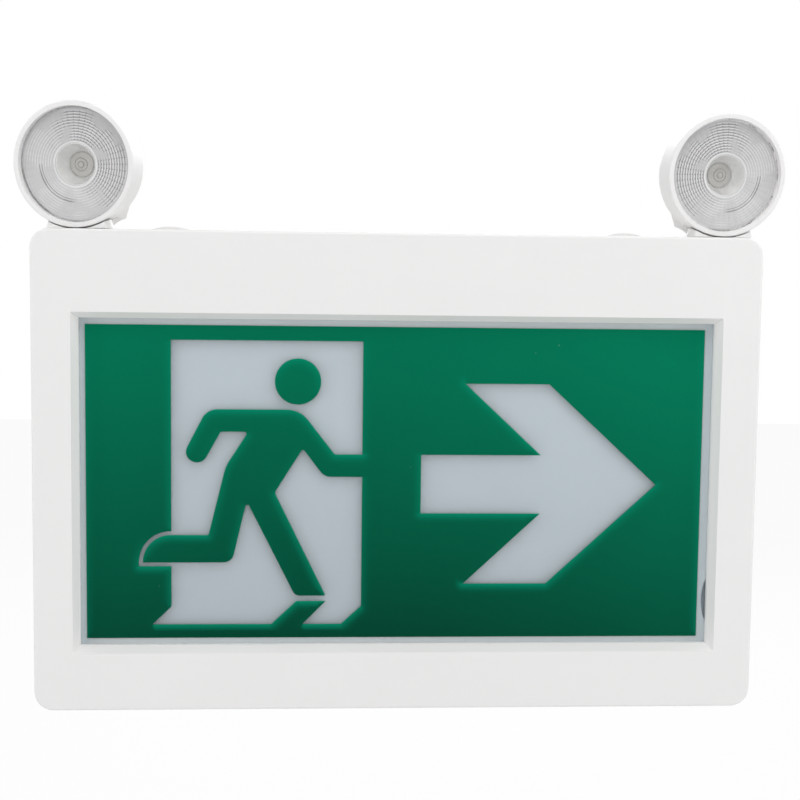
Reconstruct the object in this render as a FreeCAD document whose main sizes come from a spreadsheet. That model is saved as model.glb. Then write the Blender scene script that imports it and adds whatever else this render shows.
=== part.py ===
import FreeCAD, Part
import Sketcher

import math
import operator
import os

from FreeCAD import Placement, Rotation, Vector

# Wall-mounted emergency exit light: a lit running-man legend in a moulded shell, with two
# adjustable lamp heads on its top wall and a battery, a charger board and a light box inside.
#
# Axes: +X to the viewer's right, +Z up, the face looks along -Y.
# Origin: on the wall plane (Y = 0), at the centre of the junction box holes.

doc = FreeCAD.newDocument("exit_light")
sheet = doc.addObject("Spreadsheet::Sheet", "Sizes")

DRIVING_SIZES = (
    # shell
    ("frame_width", 342),
    ("frame_height", 226),
    ("housing_depth", 50),
    ("corner_radius", 9),
    ("edge_radius", 1.2),
    ("wall", 2.5),
    ("side_border", 21),
    ("top_border", 40.95),
    ("bottom_border", 30.25),
    ("bevel_width", 2.8),
    ("bevel_depth", 4.8),
    ("surround_depth", 6.9),
    ("surround_wall", 2.2),
    # legend, panels and light box
    ("legend_side_margin", 3.5),
    ("legend_end_margin", 3),
    ("legend_offset", -0.75),
    ("film_thickness", 0.5),
    ("panel_overlap", 4.5),
    ("panel_thickness", 2.5),
    ("notch_radius", 26),
    ("notch_height", -62),
    ("notch_reach", 2),
    ("diffuser_thickness", 1.6),
    ("tray_wall", 1.8),
    ("tray_flange", 8),
    ("tray_boss_radius", 3.2),
    ("tray_boss_inset", 40),
    ("light_bar_gap", 1.4),
    ("light_bar_thickness", 1.6),
    ("light_count", 12),
    # back plate and latches
    ("plate_thickness", 3),
    ("plate_gap", 0.4),
    ("rim_height", 7),
    ("wire_entry_radius", 11.1),
    ("box_hole_radius", 2.6),
    ("wide_box_spacing", 88.9),
    ("tall_box_spacing", 83.3),
    ("keyhole_spacing", 254),
    ("keyhole_rise", 60),
    ("keyhole_head_radius", 4.6),
    ("keyhole_slot_radius", 2.4),
    ("keyhole_travel", 9),
    ("latch_inset", 61),
    ("latch_pad_width", 23.5),
    ("latch_pad_rise", 2.5),
    ("latch_pad_length", 16),
    ("latch_width", 13),
    ("latch_thickness", 2.2),
    ("latch_reach", 14),
    ("latch_nib_length", 5),
    ("latch_bite", 2.2),
    ("lower_latch_bite", 1.2),
    # charger board and what it carries
    ("post_radius", 3.2),
    ("post_height", 4),
    ("screw_radius", 1.4),
    ("screw_head_radius", 2.8),
    ("screw_head_height", 1.8),
    ("screw_length", 6),
    ("board_length", 130),
    ("board_height", 66),
    ("board_thickness", 1.6),
    ("board_from_side", 116),
    ("board_rise", 56),
    # battery
    ("cell_radius", 11),
    ("cell_length", 42),
    ("battery_gap", 2),
    ("battery_from_side", 81),
    ("battery_rise", 58),
    ("bracket_width", 22),
    ("bracket_thickness", 0.9),
    ("bracket_foot", 9),
    # test button and pilot light
    ("button_from_board", 15),
    ("button_offset", 4.5),
    ("pilot_spacing", 20),
    ("button_radius", 4.2),
    ("button_rise", 2.6),
    ("button_travel", 1.6),
    ("button_flange", 1.4),
    ("switch_plunger", 1.2),
    ("pilot_radius", 2.5),
    # lamp mounting
    ("swivel_inset", 19.6),
    ("swivel_offset", 1.5),
    ("swivel_setback", 13),
    ("collar_radius", 5.6),
    ("collar_length", 13),
    ("lead_bore_radius", 3.6),
    ("running_gap", 0.4),
    ("neck_base_radius", 15.5),
    ("neck_waist_radius", 13.8),
    ("neck_waist_height", 6.3),
    ("neck_half_width", 17.3),
    ("neck_flare", 0.32),
    ("neck_undercut", 6.1),
    ("ear_thickness", 4.9),
    ("ear_front", 7.5),
    ("slot_floor", 8.5),
    ("pivot_setback", 16.8),
    ("pivot_height", 17.55),
    ("stop_pitch", 5.6),
    ("nut_radius", 9.9),
    ("nut_height", 4),
    ("washer_thickness", 0.8),
    ("bolt_radius", 2),
    ("bolt_fit", 0.08),
    ("bolt_head_radius", 3.6),
    ("bolt_head_height", 1.7),
    ("friction_washer", 0.5),
    # lamp head
    ("lamp_radius", 28.75),
    ("rim_width", 2.3),
    ("rim_length", 2.4),
    ("drum_depth", 17.9),
    ("drum_step", 0.4),
    ("drum_corner", 2.6),
    ("rim_corner", 0.6),
    ("drum_wall", 2.8),
    ("back_wall", 2),
    ("lamp_reach", 24.8),
    ("lamp_rise", 13.9),
    ("tongue_half_width", 11.5),
    ("tongue_radius", 6),
    ("gusset_rise", 9),
    ("lens_recess", 1),
    ("lens_thickness", 2.2),
    ("lens_ring_count", 8),
    ("lens_ring_depth", 0.5),
    ("collimator_radius", 9.8),
    ("collimator_throat", 4.2),
    ("reflector_wall", 0.8),
    ("lamp_board_radius", 12),
    ("heat_sink_radius", 18),
    ("heat_sink_thickness", 2.4),
    ("lamp_screw_spacing", 17),
    ("lamp_screw_head_radius", 2.24),
    ("lamp_screw_head_height", 0.9),
)

for row, (alias, number) in enumerate(DRIVING_SIZES, start=1):
    sheet.set(f"A{row}", alias.replace("_", " "))
    sheet.set(f"B{row}", str(number))
    sheet.setAlias(f"B{row}", alias)
doc.recompute()

# How far each lamp head is turned about its swivel and dipped as it hangs on the wall, in degrees.
LAMP_POSES = {"left": (-11.5, 5.0), "right": (5.0, 5.0)}

OPERATIONS = {"+": operator.add, "-": operator.sub, "*": operator.mul, "/": operator.truediv}


class Size:
    """A number together with the sheet formula that gives it."""

    def __init__(self, value, formula):
        self.value = value
        self.formula = formula

    def __float__(self):
        return float(self.value)

    def __add__(self, other):
        return joined(self, "+", other)

    def __radd__(self, other):
        return joined(other, "+", self)

    def __sub__(self, other):
        return joined(self, "-", other)

    def __rsub__(self, other):
        return joined(other, "-", self)

    def __mul__(self, other):
        return joined(self, "*", other)

    def __rmul__(self, other):
        return joined(other, "*", self)

    def __truediv__(self, other):
        return joined(self, "/", other)

    def __neg__(self):
        return joined(0, "-", self)


def sized(item):
    """Gives a plain number the form of a Size."""
    return item if isinstance(item, Size) else Size(float(item), f"{float(item):.6f}")


def joined(left, sign, right):
    left, right = sized(left), sized(right)
    value = OPERATIONS[sign](left.value, right.value)
    return Size(value, f"({left.formula} {sign} {right.formula})")


class Sheet:
    """Gives each cell of the sheet as a Size, by its alias."""

    def __getattr__(self, alias):
        return Size(float(getattr(sheet, alias)), f"Sizes.{alias}")


S = Sheet()


def bind(thing, **sizes):
    """Ties properties of an object to sheet formulas; __ in a name stands for a dot."""
    for name, size in sizes.items():
        thing.setExpression(name.replace("__", "."), sized(size).formula)


# ---------------------------------------------------------------- primitives and booleans

def block(label, x, y, z):
    """A box between pairs of planes."""
    box = doc.addObject("Part::Box", label)
    bind(box, Length=x[1] - x[0], Width=y[1] - y[0], Height=z[1] - z[0],
         Placement__Base__x=x[0], Placement__Base__y=y[0], Placement__Base__z=z[0])
    return box


TURNS = {
    "X": Rotation(Vector(0, 1, 0), 90),
    "Y": Rotation(Vector(1, 0, 0), -90),
    "Z": Rotation(),
}


def rod(label, radius, length, start, axis):
    """A cylinder that runs from its start point along +X, +Y or +Z."""
    cylinder = doc.addObject("Part::Cylinder", label)
    cylinder.Placement = Placement(Vector(), TURNS[axis])
    bind(cylinder, Radius=radius, Height=length, Placement__Base__x=start[0],
         Placement__Base__y=start[1], Placement__Base__z=start[2])
    return cylinder


def group(label, shapes):
    """Several solids as one object: they merge where they touch."""
    fusion = doc.addObject("Part::MultiFuse", label)
    fusion.Shapes = shapes
    return fusion


def cut(label, base, tools):
    """The base without the tools."""
    result = doc.addObject("Part::Cut", label)
    result.Base = base
    result.Tool = tools[0] if len(tools) == 1 else group(f"{label}_cuts", tools)
    return result


def span(centre, size):
    """The pair of planes a size apart about a centre."""
    return centre - size / 2, centre + size / 2


def screw(label, x, face, z, length):
    """A pan-head screw driven along -Y, its head bearing on the plane Y = face."""
    head = rod(f"{label}_head", S.screw_head_radius, S.screw_head_height, (x, face, z), "Y")
    shank = rod(f"{label}_shank", S.screw_radius, length, (x, face - length, z), "Y")
    return [head, shank]


# ---------------------------------------------------------------- bodies and sketches

def body(label):
    return doc.addObject("PartDesign::Body", label)


def sketch(owner, name, role, offset=0):
    """A sketch on one of the body's own planes, moved along the plane's normal."""
    drawing = owner.newObject("Sketcher::SketchObject", name)
    planes = owner.Origin.OriginFeatures
    drawing.AttachmentSupport = [(next(p for p in planes if p.Role == role), "")]
    drawing.MapMode = "FlatFace"
    bind(drawing, AttachmentOffset__Base__z=offset)
    return drawing


def hold(drawing, kind, geometry, point, size):
    """Keeps one coordinate of a sketch's point at a bound distance from the origin."""
    index = drawing.addConstraint(Sketcher.Constraint(kind, -1, 1, geometry, point, float(size)))
    drawing.setExpression(f"Constraints[{index}]", sized(size).formula)


def pin(drawing, geometry, point, x, y):
    hold(drawing, "DistanceX", geometry, point, x)
    hold(drawing, "DistanceY", geometry, point, y)


def flat(x, y):
    return Vector(float(x), float(y), 0)


def polygon(drawing, corners):
    """A closed outline of straight edges."""
    first = drawing.GeometryCount
    count = len(corners)
    for (x0, y0), (x1, y1) in zip(corners, corners[1:] + corners[:1]):
        drawing.addGeometry(Part.LineSegment(flat(x0, y0), flat(x1, y1)), False)
    for number in range(count):
        edge = first + number
        following = first + (number + 1) % count
        drawing.addConstraint(Sketcher.Constraint("Coincident", edge, 2, following, 1))
        pin(drawing, edge, 1, *corners[number])
    return drawing


def rectangle(drawing, x, y):
    return polygon(drawing, [(x[0], y[0]), (x[1], y[0]), (x[1], y[1]), (x[0], y[1])])


def circle(drawing, x, y, radius):
    index = drawing.addGeometry(Part.Circle(flat(x, y), Vector(0, 0, 1), float(radius)), False)
    pin(drawing, index, 3, x, y)
    held = drawing.addConstraint(Sketcher.Constraint("Radius", index, float(radius)))
    drawing.setExpression(f"Constraints[{held}]", sized(radius).formula)
    return drawing


def capped_outline(drawing, corners, top, middle):
    """Straight edges through the corners, closed by an arc over the top, about a given middle.

    The arc's ends lie level or plumb, so one distance of its middle settles it.
    """
    arc = drawing.addGeometry(Part.Arc(flat(*corners[-1]), flat(*top), flat(*corners[0])), False)
    for start, end in zip(corners, corners[1:]):
        drawing.addGeometry(Part.LineSegment(flat(*start), flat(*end)), False)
    last = arc + len(corners) - 1
    for edge in range(arc, last + 1):
        following = arc if edge == last else edge + 1
        drawing.addConstraint(Sketcher.Constraint("Coincident", edge, 2, following, 1))
    for edge, corner in enumerate(corners[:-1], start=arc + 1):
        pin(drawing, edge, 1, *corner)
    pin(drawing, arc, 1, *corners[-1])
    level = float(corners[0][1]) == float(corners[-1][1])
    hold(drawing, "DistanceY" if level else "DistanceX", arc, 3, middle[1] if level else middle[0])
    return drawing


def rounded_rectangle(drawing, x, y, radius):
    """A rectangle with quarter-round corners, each arc held by its centre."""
    centres = [(x[1] - radius, y[1] - radius), (x[0] + radius, y[1] - radius),
               (x[0] + radius, y[0] + radius), (x[1] - radius, y[0] + radius)]
    first = drawing.GeometryCount
    for number, centre in enumerate(centres):
        round_corner = Part.Circle(flat(*centre), Vector(0, 0, 1), float(radius))
        start = number * math.pi / 2
        drawing.addGeometry(Part.ArcOfCircle(round_corner, start, start + math.pi / 2), False)
    for number in range(4):
        start = drawing.getPoint(first + number, 2)
        end = drawing.getPoint(first + (number + 1) % 4, 1)
        drawing.addGeometry(Part.LineSegment(start, end), False)
    for number, centre in enumerate(centres):
        corner, edge, following = first + number, first + 4 + number, first + (number + 1) % 4
        drawing.addConstraint(Sketcher.Constraint("Tangent", corner, 2, edge, 1))
        drawing.addConstraint(Sketcher.Constraint("Tangent", edge, 2, following, 1))
        pin(drawing, corner, 3, *centre)
    held = drawing.addConstraint(Sketcher.Constraint("Radius", first, float(radius)))
    drawing.setExpression(f"Constraints[{held}]", sized(radius).formula)
    for number, direction in enumerate(("Horizontal", "Vertical", "Horizontal")):
        drawing.addConstraint(Sketcher.Constraint(direction, first + 4 + number))
    return drawing


def feature(owner, kind, profile, **sizes):
    made = owner.newObject(f"PartDesign::{kind}", f"{profile.Name}_{kind.lower()}")
    made.Profile = (profile, [""])
    bind(made, **sizes)
    return made


def pad(owner, profile, length):
    return feature(owner, "Pad", profile, Length=length)


def pad_both_ways(owner, profile, length):
    made = pad(owner, profile, length)
    made.SideType = "Symmetric"
    return made


def pocket(owner, profile, length, along_normal=False):
    """A cut against the sketch's normal, or along it."""
    made = feature(owner, "Pocket", profile, Length=length)
    made.Reversed = along_normal
    return made


def pocket_both_ways(owner, profile, length):
    made = pocket(owner, profile, length)
    made.SideType = "Symmetric"
    return made


def turned(owner, profile, kind="Revolution", axis="H_Axis"):
    """A full turn of the profile about an axis of its own sketch."""
    made = owner.newObject(f"PartDesign::{kind}", f"{profile.Name}_turn")
    made.Profile = (profile, [""])
    made.ReferenceAxis = (profile, [axis])
    made.Angle = 360
    return made


def fillet(owner, base, radius, chosen):
    """Rounds those edges of the last feature for which chosen(edge) holds."""
    doc.recompute()
    names = [f"Edge{i}" for i, edge in enumerate(base.Shape.Edges, start=1) if chosen(edge)]
    rounded = owner.newObject("PartDesign::Fillet", f"{base.Name}_fillet")
    rounded.Base = (base, names)
    bind(rounded, Radius=radius)
    return rounded


# ---------------------------------------------------------------- shared places

FRAME_TOP = S.frame_height / 2
FRAME_SIDE = S.frame_width / 2
INNER_TOP = FRAME_TOP - S.wall
WINDOW_WIDTH = S.frame_width - 2 * S.side_border
WINDOW_HEIGHT = S.frame_height - S.top_border - S.bottom_border
WINDOW_Z = (S.bottom_border - S.top_border) / 2
LEGEND_WIDTH = WINDOW_WIDTH - 2 * S.legend_side_margin
LEGEND_HEIGHT = WINDOW_HEIGHT - 2 * S.legend_end_margin
PANEL_WIDTH = WINDOW_WIDTH + 2 * S.panel_overlap
PANEL_HEIGHT = WINDOW_HEIGHT + 2 * S.panel_overlap
SWIVEL_SPAN = FRAME_SIDE - S.swivel_inset
SWIVEL_X = {"left": S.swivel_offset - SWIVEL_SPAN, "right": S.swivel_offset + SWIVEL_SPAN}
LATCH_X = FRAME_SIDE - S.latch_inset
TRAY_FRONT = S.surround_depth + S.panel_thickness + S.diffuser_thickness
TRAY_BACK = S.housing_depth - S.plate_thickness - S.battery_gap - 2 * S.cell_radius
TRAY_DEPTH = TRAY_BACK - TRAY_FRONT
BOARD_FRONT = TRAY_BACK + S.post_height
BOARD_REAR = BOARD_FRONT + S.board_thickness
BUTTON_DEPTH = BOARD_REAR + S.button_offset
TRAY_WIDTH = WINDOW_WIDTH + 2 * (S.bevel_width + S.tray_wall)
TRAY_HEIGHT = WINDOW_HEIGHT + 2 * (S.bevel_width + S.tray_wall)
BOSS_X = WINDOW_WIDTH / 2 - S.tray_boss_inset
BOARD_X = FRAME_SIDE - S.board_from_side
BOARD_Z = S.board_rise - FRAME_TOP
BATTERY_X = S.battery_from_side - FRAME_SIDE
BATTERY_Z = S.battery_rise - FRAME_TOP
BUTTON_X = BOARD_X - S.button_from_board
PILOT_X = BUTTON_X + S.pilot_spacing
PLATE_TOP = INNER_TOP - S.plate_gap


def behind_front(depth):
    """The Y of a plane a given depth behind the shell's front face."""
    return depth - S.housing_depth


def layer(start, thickness):
    """The pair of Y planes of a sheet whose front lies a given depth behind the face."""
    return behind_front(start), behind_front(start + thickness)


def facing(owner, name, depth):
    """A sketch parallel to the face, a given depth behind it; its normal points forwards."""
    return sketch(owner, name, "XZ_Plane", S.housing_depth - depth)


def both_sides(half):
    return -half, half


def boss_places():
    """Where the light box is screwed to the shell: three above and three below the window."""
    reach = TRAY_HEIGHT / 2 + S.tray_flange / 2
    columns = (-BOSS_X, sized(0), BOSS_X)
    return [(x, WINDOW_Z + sign * reach) for sign in (1, -1) for x in columns]


def board_post_places():
    """The four posts under the charger board's corners."""
    inset = 2 * S.post_radius
    return [(BOARD_X + i * (S.board_length / 2 - inset),
             BOARD_Z + k * (S.board_height / 2 - inset)) for i in (-1, 1) for k in (-1, 1)]


def bracket_post_places():
    """The posts above and below the battery that take the bracket's feet."""
    reach = 2 * S.cell_radius + S.bracket_thickness + S.bracket_foot / 2
    return [(BATTERY_X, BATTERY_Z + sign * reach) for sign in (1, -1)]


def circles(drawing, places, radius):
    for x, y in places:
        circle(drawing, x, y, radius)
    return drawing


# ---------------------------------------------------------------- shell

def arched_outline(drawing, x, foot, rise, sink):
    """A low arch between two X positions, closed a little below its foot."""
    width = x[1] - x[0]
    middle = (x[0] + x[1]) / 2
    radius = (width * width / 4 + rise * rise) / (2 * rise)
    corners = [(x[0], foot), (x[0], foot - sink), (x[1], foot - sink), (x[1], foot)]
    return capped_outline(drawing, corners, (middle, foot + rise), (middle, foot + rise - radius))


def latch_centres():
    return [sign * LATCH_X for sign in (-1, 1)]


def latch_slot(owner, name, side, depth):
    """Hollows inside the top (side 1) or bottom (side -1) wall for the back plate's latches."""
    nib_end = -(S.plate_thickness + S.latch_reach)
    drawing = sketch(owner, name, "XY_Plane", side * INNER_TOP)
    for x in latch_centres():
        rectangle(drawing, span(x, S.latch_width + 2 * S.running_gap),
                  (nib_end - S.running_gap, nib_end + S.latch_nib_length + S.running_gap))
    return pocket(owner, drawing, depth, along_normal=side > 0)


def make_housing():
    """The front shell: face, four walls, window surround, bosses and latch pads."""
    shell = body("housing")
    outline = sketch(shell, "shell_outline", "XZ_Plane")
    rounded_rectangle(outline, span(0, S.frame_width), span(0, S.frame_height), S.corner_radius)
    solid = pad(shell, outline, S.housing_depth)
    front = -float(S.housing_depth)
    fillet(shell, solid, S.edge_radius, lambda edge: edge.BoundBox.YMax < front + 0.01)

    cavity = sketch(shell, "shell_cavity", "XZ_Plane")
    rounded_rectangle(cavity, span(0, S.frame_width - 2 * S.wall), span(0, S.frame_height - 2 * S.wall),
                      S.corner_radius - S.wall)
    pocket(shell, cavity, S.housing_depth - S.wall, along_normal=True)

    surround = facing(shell, "window_surround", S.surround_depth)
    margin = 2 * (S.bevel_width + S.surround_wall)
    rectangle(surround, span(0, WINDOW_WIDTH + margin), span(WINDOW_Z, WINDOW_HEIGHT + margin))
    pad(shell, surround, S.surround_depth - S.wall)

    bosses = circles(facing(shell, "light_box_bosses", TRAY_FRONT), boss_places(), S.tray_boss_radius)
    pad(shell, bosses, TRAY_FRONT - S.wall)
    threads = circles(facing(shell, "boss_holes", TRAY_FRONT), boss_places(), S.screw_radius + S.bolt_fit)
    pocket(shell, threads, S.screw_length, along_normal=True)

    window = facing(shell, "window", S.surround_depth)
    rectangle(window, span(0, WINDOW_WIDTH), span(WINDOW_Z, WINDOW_HEIGHT))
    pocket(shell, window, S.surround_depth, along_normal=True)
    bevel_front = facing(shell, "bevel_front", 0)
    rectangle(bevel_front, span(0, WINDOW_WIDTH + 2 * S.bevel_width),
              span(WINDOW_Z, WINDOW_HEIGHT + 2 * S.bevel_width))
    bevel_rear = facing(shell, "bevel_rear", S.bevel_depth)
    rectangle(bevel_rear, span(0, WINDOW_WIDTH), span(WINDOW_Z, WINDOW_HEIGHT))
    bevel = feature(shell, "SubtractiveLoft", bevel_front)
    bevel.Sections = [(bevel_rear, [""])]
    bevel.Ruled = True

    pads = sketch(shell, "latch_pads", "XZ_Plane", S.plate_thickness * 2)
    for x in latch_centres():
        arched_outline(pads, span(x, S.latch_pad_width), FRAME_TOP, S.latch_pad_rise, S.wall / 2)
    pad(shell, pads, S.latch_pad_length)
    latch_slot(shell, "upper_latch_slots", 1, S.latch_bite + S.running_gap)
    latch_slot(shell, "lower_latch_slots", -1, S.lower_latch_bite + S.running_gap)

    collars = sketch(shell, "collar_holes", "XY_Plane", FRAME_TOP)
    places = [(place, behind_front(S.swivel_setback)) for place in SWIVEL_X.values()]
    pocket(shell, circles(collars, places, S.collar_radius + S.running_gap), S.wall)

    controls = sketch(shell, "control_holes", "XY_Plane", -FRAME_TOP)
    circle(controls, BUTTON_X, behind_front(BUTTON_DEPTH), S.button_radius + S.running_gap)
    circle(controls, PILOT_X, behind_front(BUTTON_DEPTH), S.pilot_radius + S.bolt_fit)
    pocket(shell, controls, S.wall, along_normal=True)
    return shell


def make_back_plate():
    """The wall plate: junction box holes, wire entry, keyholes, rim and four latches."""
    plate = body("back_plate")
    outline = sketch(plate, "plate_outline", "XZ_Plane")
    inset = 2 * (S.wall + S.plate_gap)
    rounded_rectangle(outline, span(0, S.frame_width - inset), span(0, S.frame_height - inset),
                      S.corner_radius - S.wall - S.plate_gap)
    pad(plate, outline, S.plate_thickness)

    rim = sketch(plate, "rim", "XZ_Plane", S.plate_thickness)
    rim_inset = inset + 2 * (S.latch_thickness + S.running_gap)
    for step in (rim_inset, rim_inset + 2 * S.latch_thickness):
        rounded_rectangle(rim, span(0, S.frame_width - step), span(0, S.frame_height - step),
                          S.corner_radius - step / 2 + S.wall)
    pad(plate, rim, S.rim_height)

    arms = sketch(plate, "latch_arms", "XZ_Plane", S.plate_thickness)
    nibs = sketch(plate, "latch_nibs", "XZ_Plane", S.plate_thickness + S.latch_reach - S.latch_nib_length)
    for x in latch_centres():
        for side, bite in ((1, S.latch_bite), (-1, S.lower_latch_bite)):
            outer, inner = side * PLATE_TOP, side * (PLATE_TOP - S.latch_thickness)
            rectangle(arms, span(x, S.latch_width), (inner, outer))
            rectangle(nibs, span(x, S.latch_width), (inner, outer + side * bite))
    pad(plate, arms, S.latch_reach)
    pad(plate, nibs, S.latch_nib_length)

    through = S.plate_thickness
    entry = circle(sketch(plate, "wire_entry", "XZ_Plane"), 0, 0, S.wire_entry_radius)
    pocket(plate, entry, through, along_normal=True)
    box_holes = sketch(plate, "junction_box_holes", "XZ_Plane")
    places = [(sign * S.wide_box_spacing / 2, 0) for sign in (-1, 1)]
    places += [(0, sign * S.tall_box_spacing / 2) for sign in (-1, 1)]
    pocket(plate, circles(box_holes, places, S.box_hole_radius), through, along_normal=True)

    heads = [(sign * S.keyhole_spacing / 2, S.keyhole_rise) for sign in (-1, 1)]
    tops = [(x, z + S.keyhole_travel) for x, z in heads]
    head_holes = circles(sketch(plate, "keyhole_heads", "XZ_Plane"), heads, S.keyhole_head_radius)
    pocket(plate, head_holes, through, along_normal=True)
    slots = sketch(plate, "keyhole_slots", "XZ_Plane")
    for x, z in heads:
        rectangle(slots, span(x, 2 * S.keyhole_slot_radius), (z, z + S.keyhole_travel))
    pocket(plate, slots, through, along_normal=True)
    ends = circles(sketch(plate, "keyhole_ends", "XZ_Plane"), tops, S.keyhole_slot_radius)
    pocket(plate, ends, through, along_normal=True)
    return plate


# ---------------------------------------------------------------- legend

LEGEND_GRID = 148.2
FOOT_OUTLINE = 1.9
DOOR_LEFT, DOOR_RIGHT, DOOR_TOP, DOOR_BOTTOM = -106.4, -16.7, 67.2, -67.7
DOOR_FOOT = -59.0
FOOT_TOP, FOOT_SOLE, FOOT_TIP, FOOT_RADIUS = -24.9, -37.9, -119.7, 12.9

# The outlines below are corners (x, z, rounding radius) on a grid whose height is LEGEND_GRID,
# measured from the middle of the legend.
DOORWAY = (
    (DOOR_LEFT, DOOR_TOP, 0), (DOOR_RIGHT, DOOR_TOP, 0), (DOOR_RIGHT, DOOR_FOOT, 0),
    (-26.2, DOOR_BOTTOM, 0), (-115.4, DOOR_BOTTOM, 0), (DOOR_LEFT, DOOR_FOOT, 0),
)
RUNNER = (
    (DOOR_RIGHT + 1, 13.7, 0), (-29.8, 13.7, 1.5), (-46.2, 34.8, 12.5), (-89.7, 34.8, 8),
    (-101.2, 12.6, 4.9), (-92.3, 8.1, 4.9), (-83.3, 24.3, 1), (-70.4, 24.3, 1), (-80.9, 8.0, 18),
    (-89.0, FOOT_TOP, 1), (FOOT_TIP, FOOT_TOP, FOOT_RADIUS), (FOOT_TIP, FOOT_SOLE, 0),
    (-78.0, FOOT_SOLE, 5), (-71.1, -8.4, 1), (-48.1, -53.9, 3.5), (-33.7, -53.9, 0.4),
    (-58.0, -4.5, 2), (-44.8, 16.5, 1), (-34.6, 3.1, 6), (DOOR_RIGHT + 1, 3.1, 0),
)
FOOT_MARGIN = (
    (DOOR_LEFT, FOOT_TOP + FOOT_OUTLINE, 0),
    (FOOT_TIP - FOOT_OUTLINE, FOOT_TOP + FOOT_OUTLINE, FOOT_RADIUS + FOOT_OUTLINE),
    (FOOT_TIP - FOOT_OUTLINE, FOOT_SOLE - FOOT_OUTLINE, 0.5), (DOOR_LEFT, FOOT_SOLE - FOOT_OUTLINE, 0),
)
FOOT_SHADOW = (
    (-47.5, -56.6, 0), (-33.7, -56.6, 0), (-45.6, DOOR_BOTTOM - 1, 0), (-60.4, DOOR_BOTTOM - 1, 0),
)
HEAD_CENTRE, HEAD_RADIUS = (-47.2, 48.1), 10.85
ARROW_AXIS, SHAFT_HALF, ARROW_HALF = -0.3, 14.05, 48.0
ARROW_TAIL, ARROW_BARB, ARROW_NOTCH, ARROW_SHOULDER, ARROW_TIP = 11.2, 31.8, 68.3, 71.8, 124.1
ARROW = (
    (ARROW_TAIL, ARROW_AXIS + SHAFT_HALF, 0), (ARROW_NOTCH, ARROW_AXIS + SHAFT_HALF, 0),
    (ARROW_BARB, ARROW_AXIS + ARROW_HALF, 0), (ARROW_SHOULDER, ARROW_AXIS + ARROW_HALF, 0),
    (ARROW_TIP, ARROW_AXIS, 0), (ARROW_SHOULDER, ARROW_AXIS - ARROW_HALF, 0),
    (ARROW_BARB, ARROW_AXIS - ARROW_HALF, 0), (ARROW_NOTCH, ARROW_AXIS - SHAFT_HALF, 0),
    (ARROW_TAIL, ARROW_AXIS - SHAFT_HALF, 0),
)


def rounded_face(corners, scale):
    """A flat face in the XZ plane through scaled corners, each rounded by its own radius."""
    edges = []
    points = [Vector(x * scale, 0, z * scale) for x, z, _ in corners]
    starts, ends = [], []
    for number, (_, _, radius) in enumerate(corners):
        corner, before = points[number], points[number - 1]
        after = points[(number + 1) % len(points)]
        back, ahead = (before - corner).normalize(), (after - corner).normalize()
        half_angle = back.getAngle(ahead) / 2
        reach = radius * scale / math.tan(half_angle)
        starts.append(corner + back * reach)
        ends.append(corner + ahead * reach)
        if radius:
            inward = (back + ahead).normalize()
            height = radius * scale / math.sin(half_angle) - radius * scale
            edges.append(Part.Arc(starts[-1], corner + inward * height, ends[-1]).toShape())
    for number, end in enumerate(ends):
        start = starts[(number + 1) % len(starts)]
        edges.append(Part.LineSegment(end, start).toShape())
    return Part.Face(Part.Wire(Part.__sortEdges__(edges)))


def make_legend_film():
    """The green print: a sheet with the doorway and the arrow left clear."""
    scale = float(LEGEND_HEIGHT) / LEGEND_GRID
    thickness = Vector(0, float(S.film_thickness), 0)
    width, height = float(LEGEND_WIDTH), float(LEGEND_HEIGHT)

    def printed(corners):
        return rounded_face(corners, scale).extrude(thickness)

    sheet_solid = Part.makeBox(width, thickness.y, height, Vector(-width / 2, 0, -height / 2))
    head = Part.makeCylinder(HEAD_RADIUS * scale, thickness.y,
                             Vector(HEAD_CENTRE[0] * scale, 0, HEAD_CENTRE[1] * scale), Vector(0, 1, 0))
    clear = printed(DOORWAY).fuse([printed(FOOT_MARGIN), printed(ARROW)])
    ink = sheet_solid.cut(clear).fuse([printed(RUNNER), printed(FOOT_SHADOW)]).removeSplitter()
    film = doc.addObject("Part::Feature", "legend_film")
    film.Shape = Part.makeCompound(ink.Solids + [head])
    front = behind_front(S.surround_depth - S.film_thickness)
    film.Placement.Base = Vector(float(S.legend_offset), float(front), float(WINDOW_Z))
    return film


# ---------------------------------------------------------------- panels and light box

def make_panels():
    """The clear legend panel with its finger notch, and the white diffuser behind it."""
    clear = body("clear_panel")
    outline = facing(clear, "panel_outline", S.surround_depth + S.panel_thickness)
    rectangle(outline, span(0, PANEL_WIDTH), span(WINDOW_Z, PANEL_HEIGHT))
    pad(clear, outline, S.panel_thickness)
    notch = facing(clear, "finger_notch", S.surround_depth + S.panel_thickness)
    circle(notch, WINDOW_WIDTH / 2 - S.notch_reach + S.notch_radius, S.notch_height, S.notch_radius)
    pocket(clear, notch, S.panel_thickness, along_normal=True)

    diffuser = body("diffuser_panel")
    outline = facing(diffuser, "diffuser_outline", TRAY_FRONT)
    rectangle(outline, span(0, PANEL_WIDTH), span(WINDOW_Z, PANEL_HEIGHT))
    pad(diffuser, outline, S.diffuser_thickness)
    return [clear, diffuser]


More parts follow.
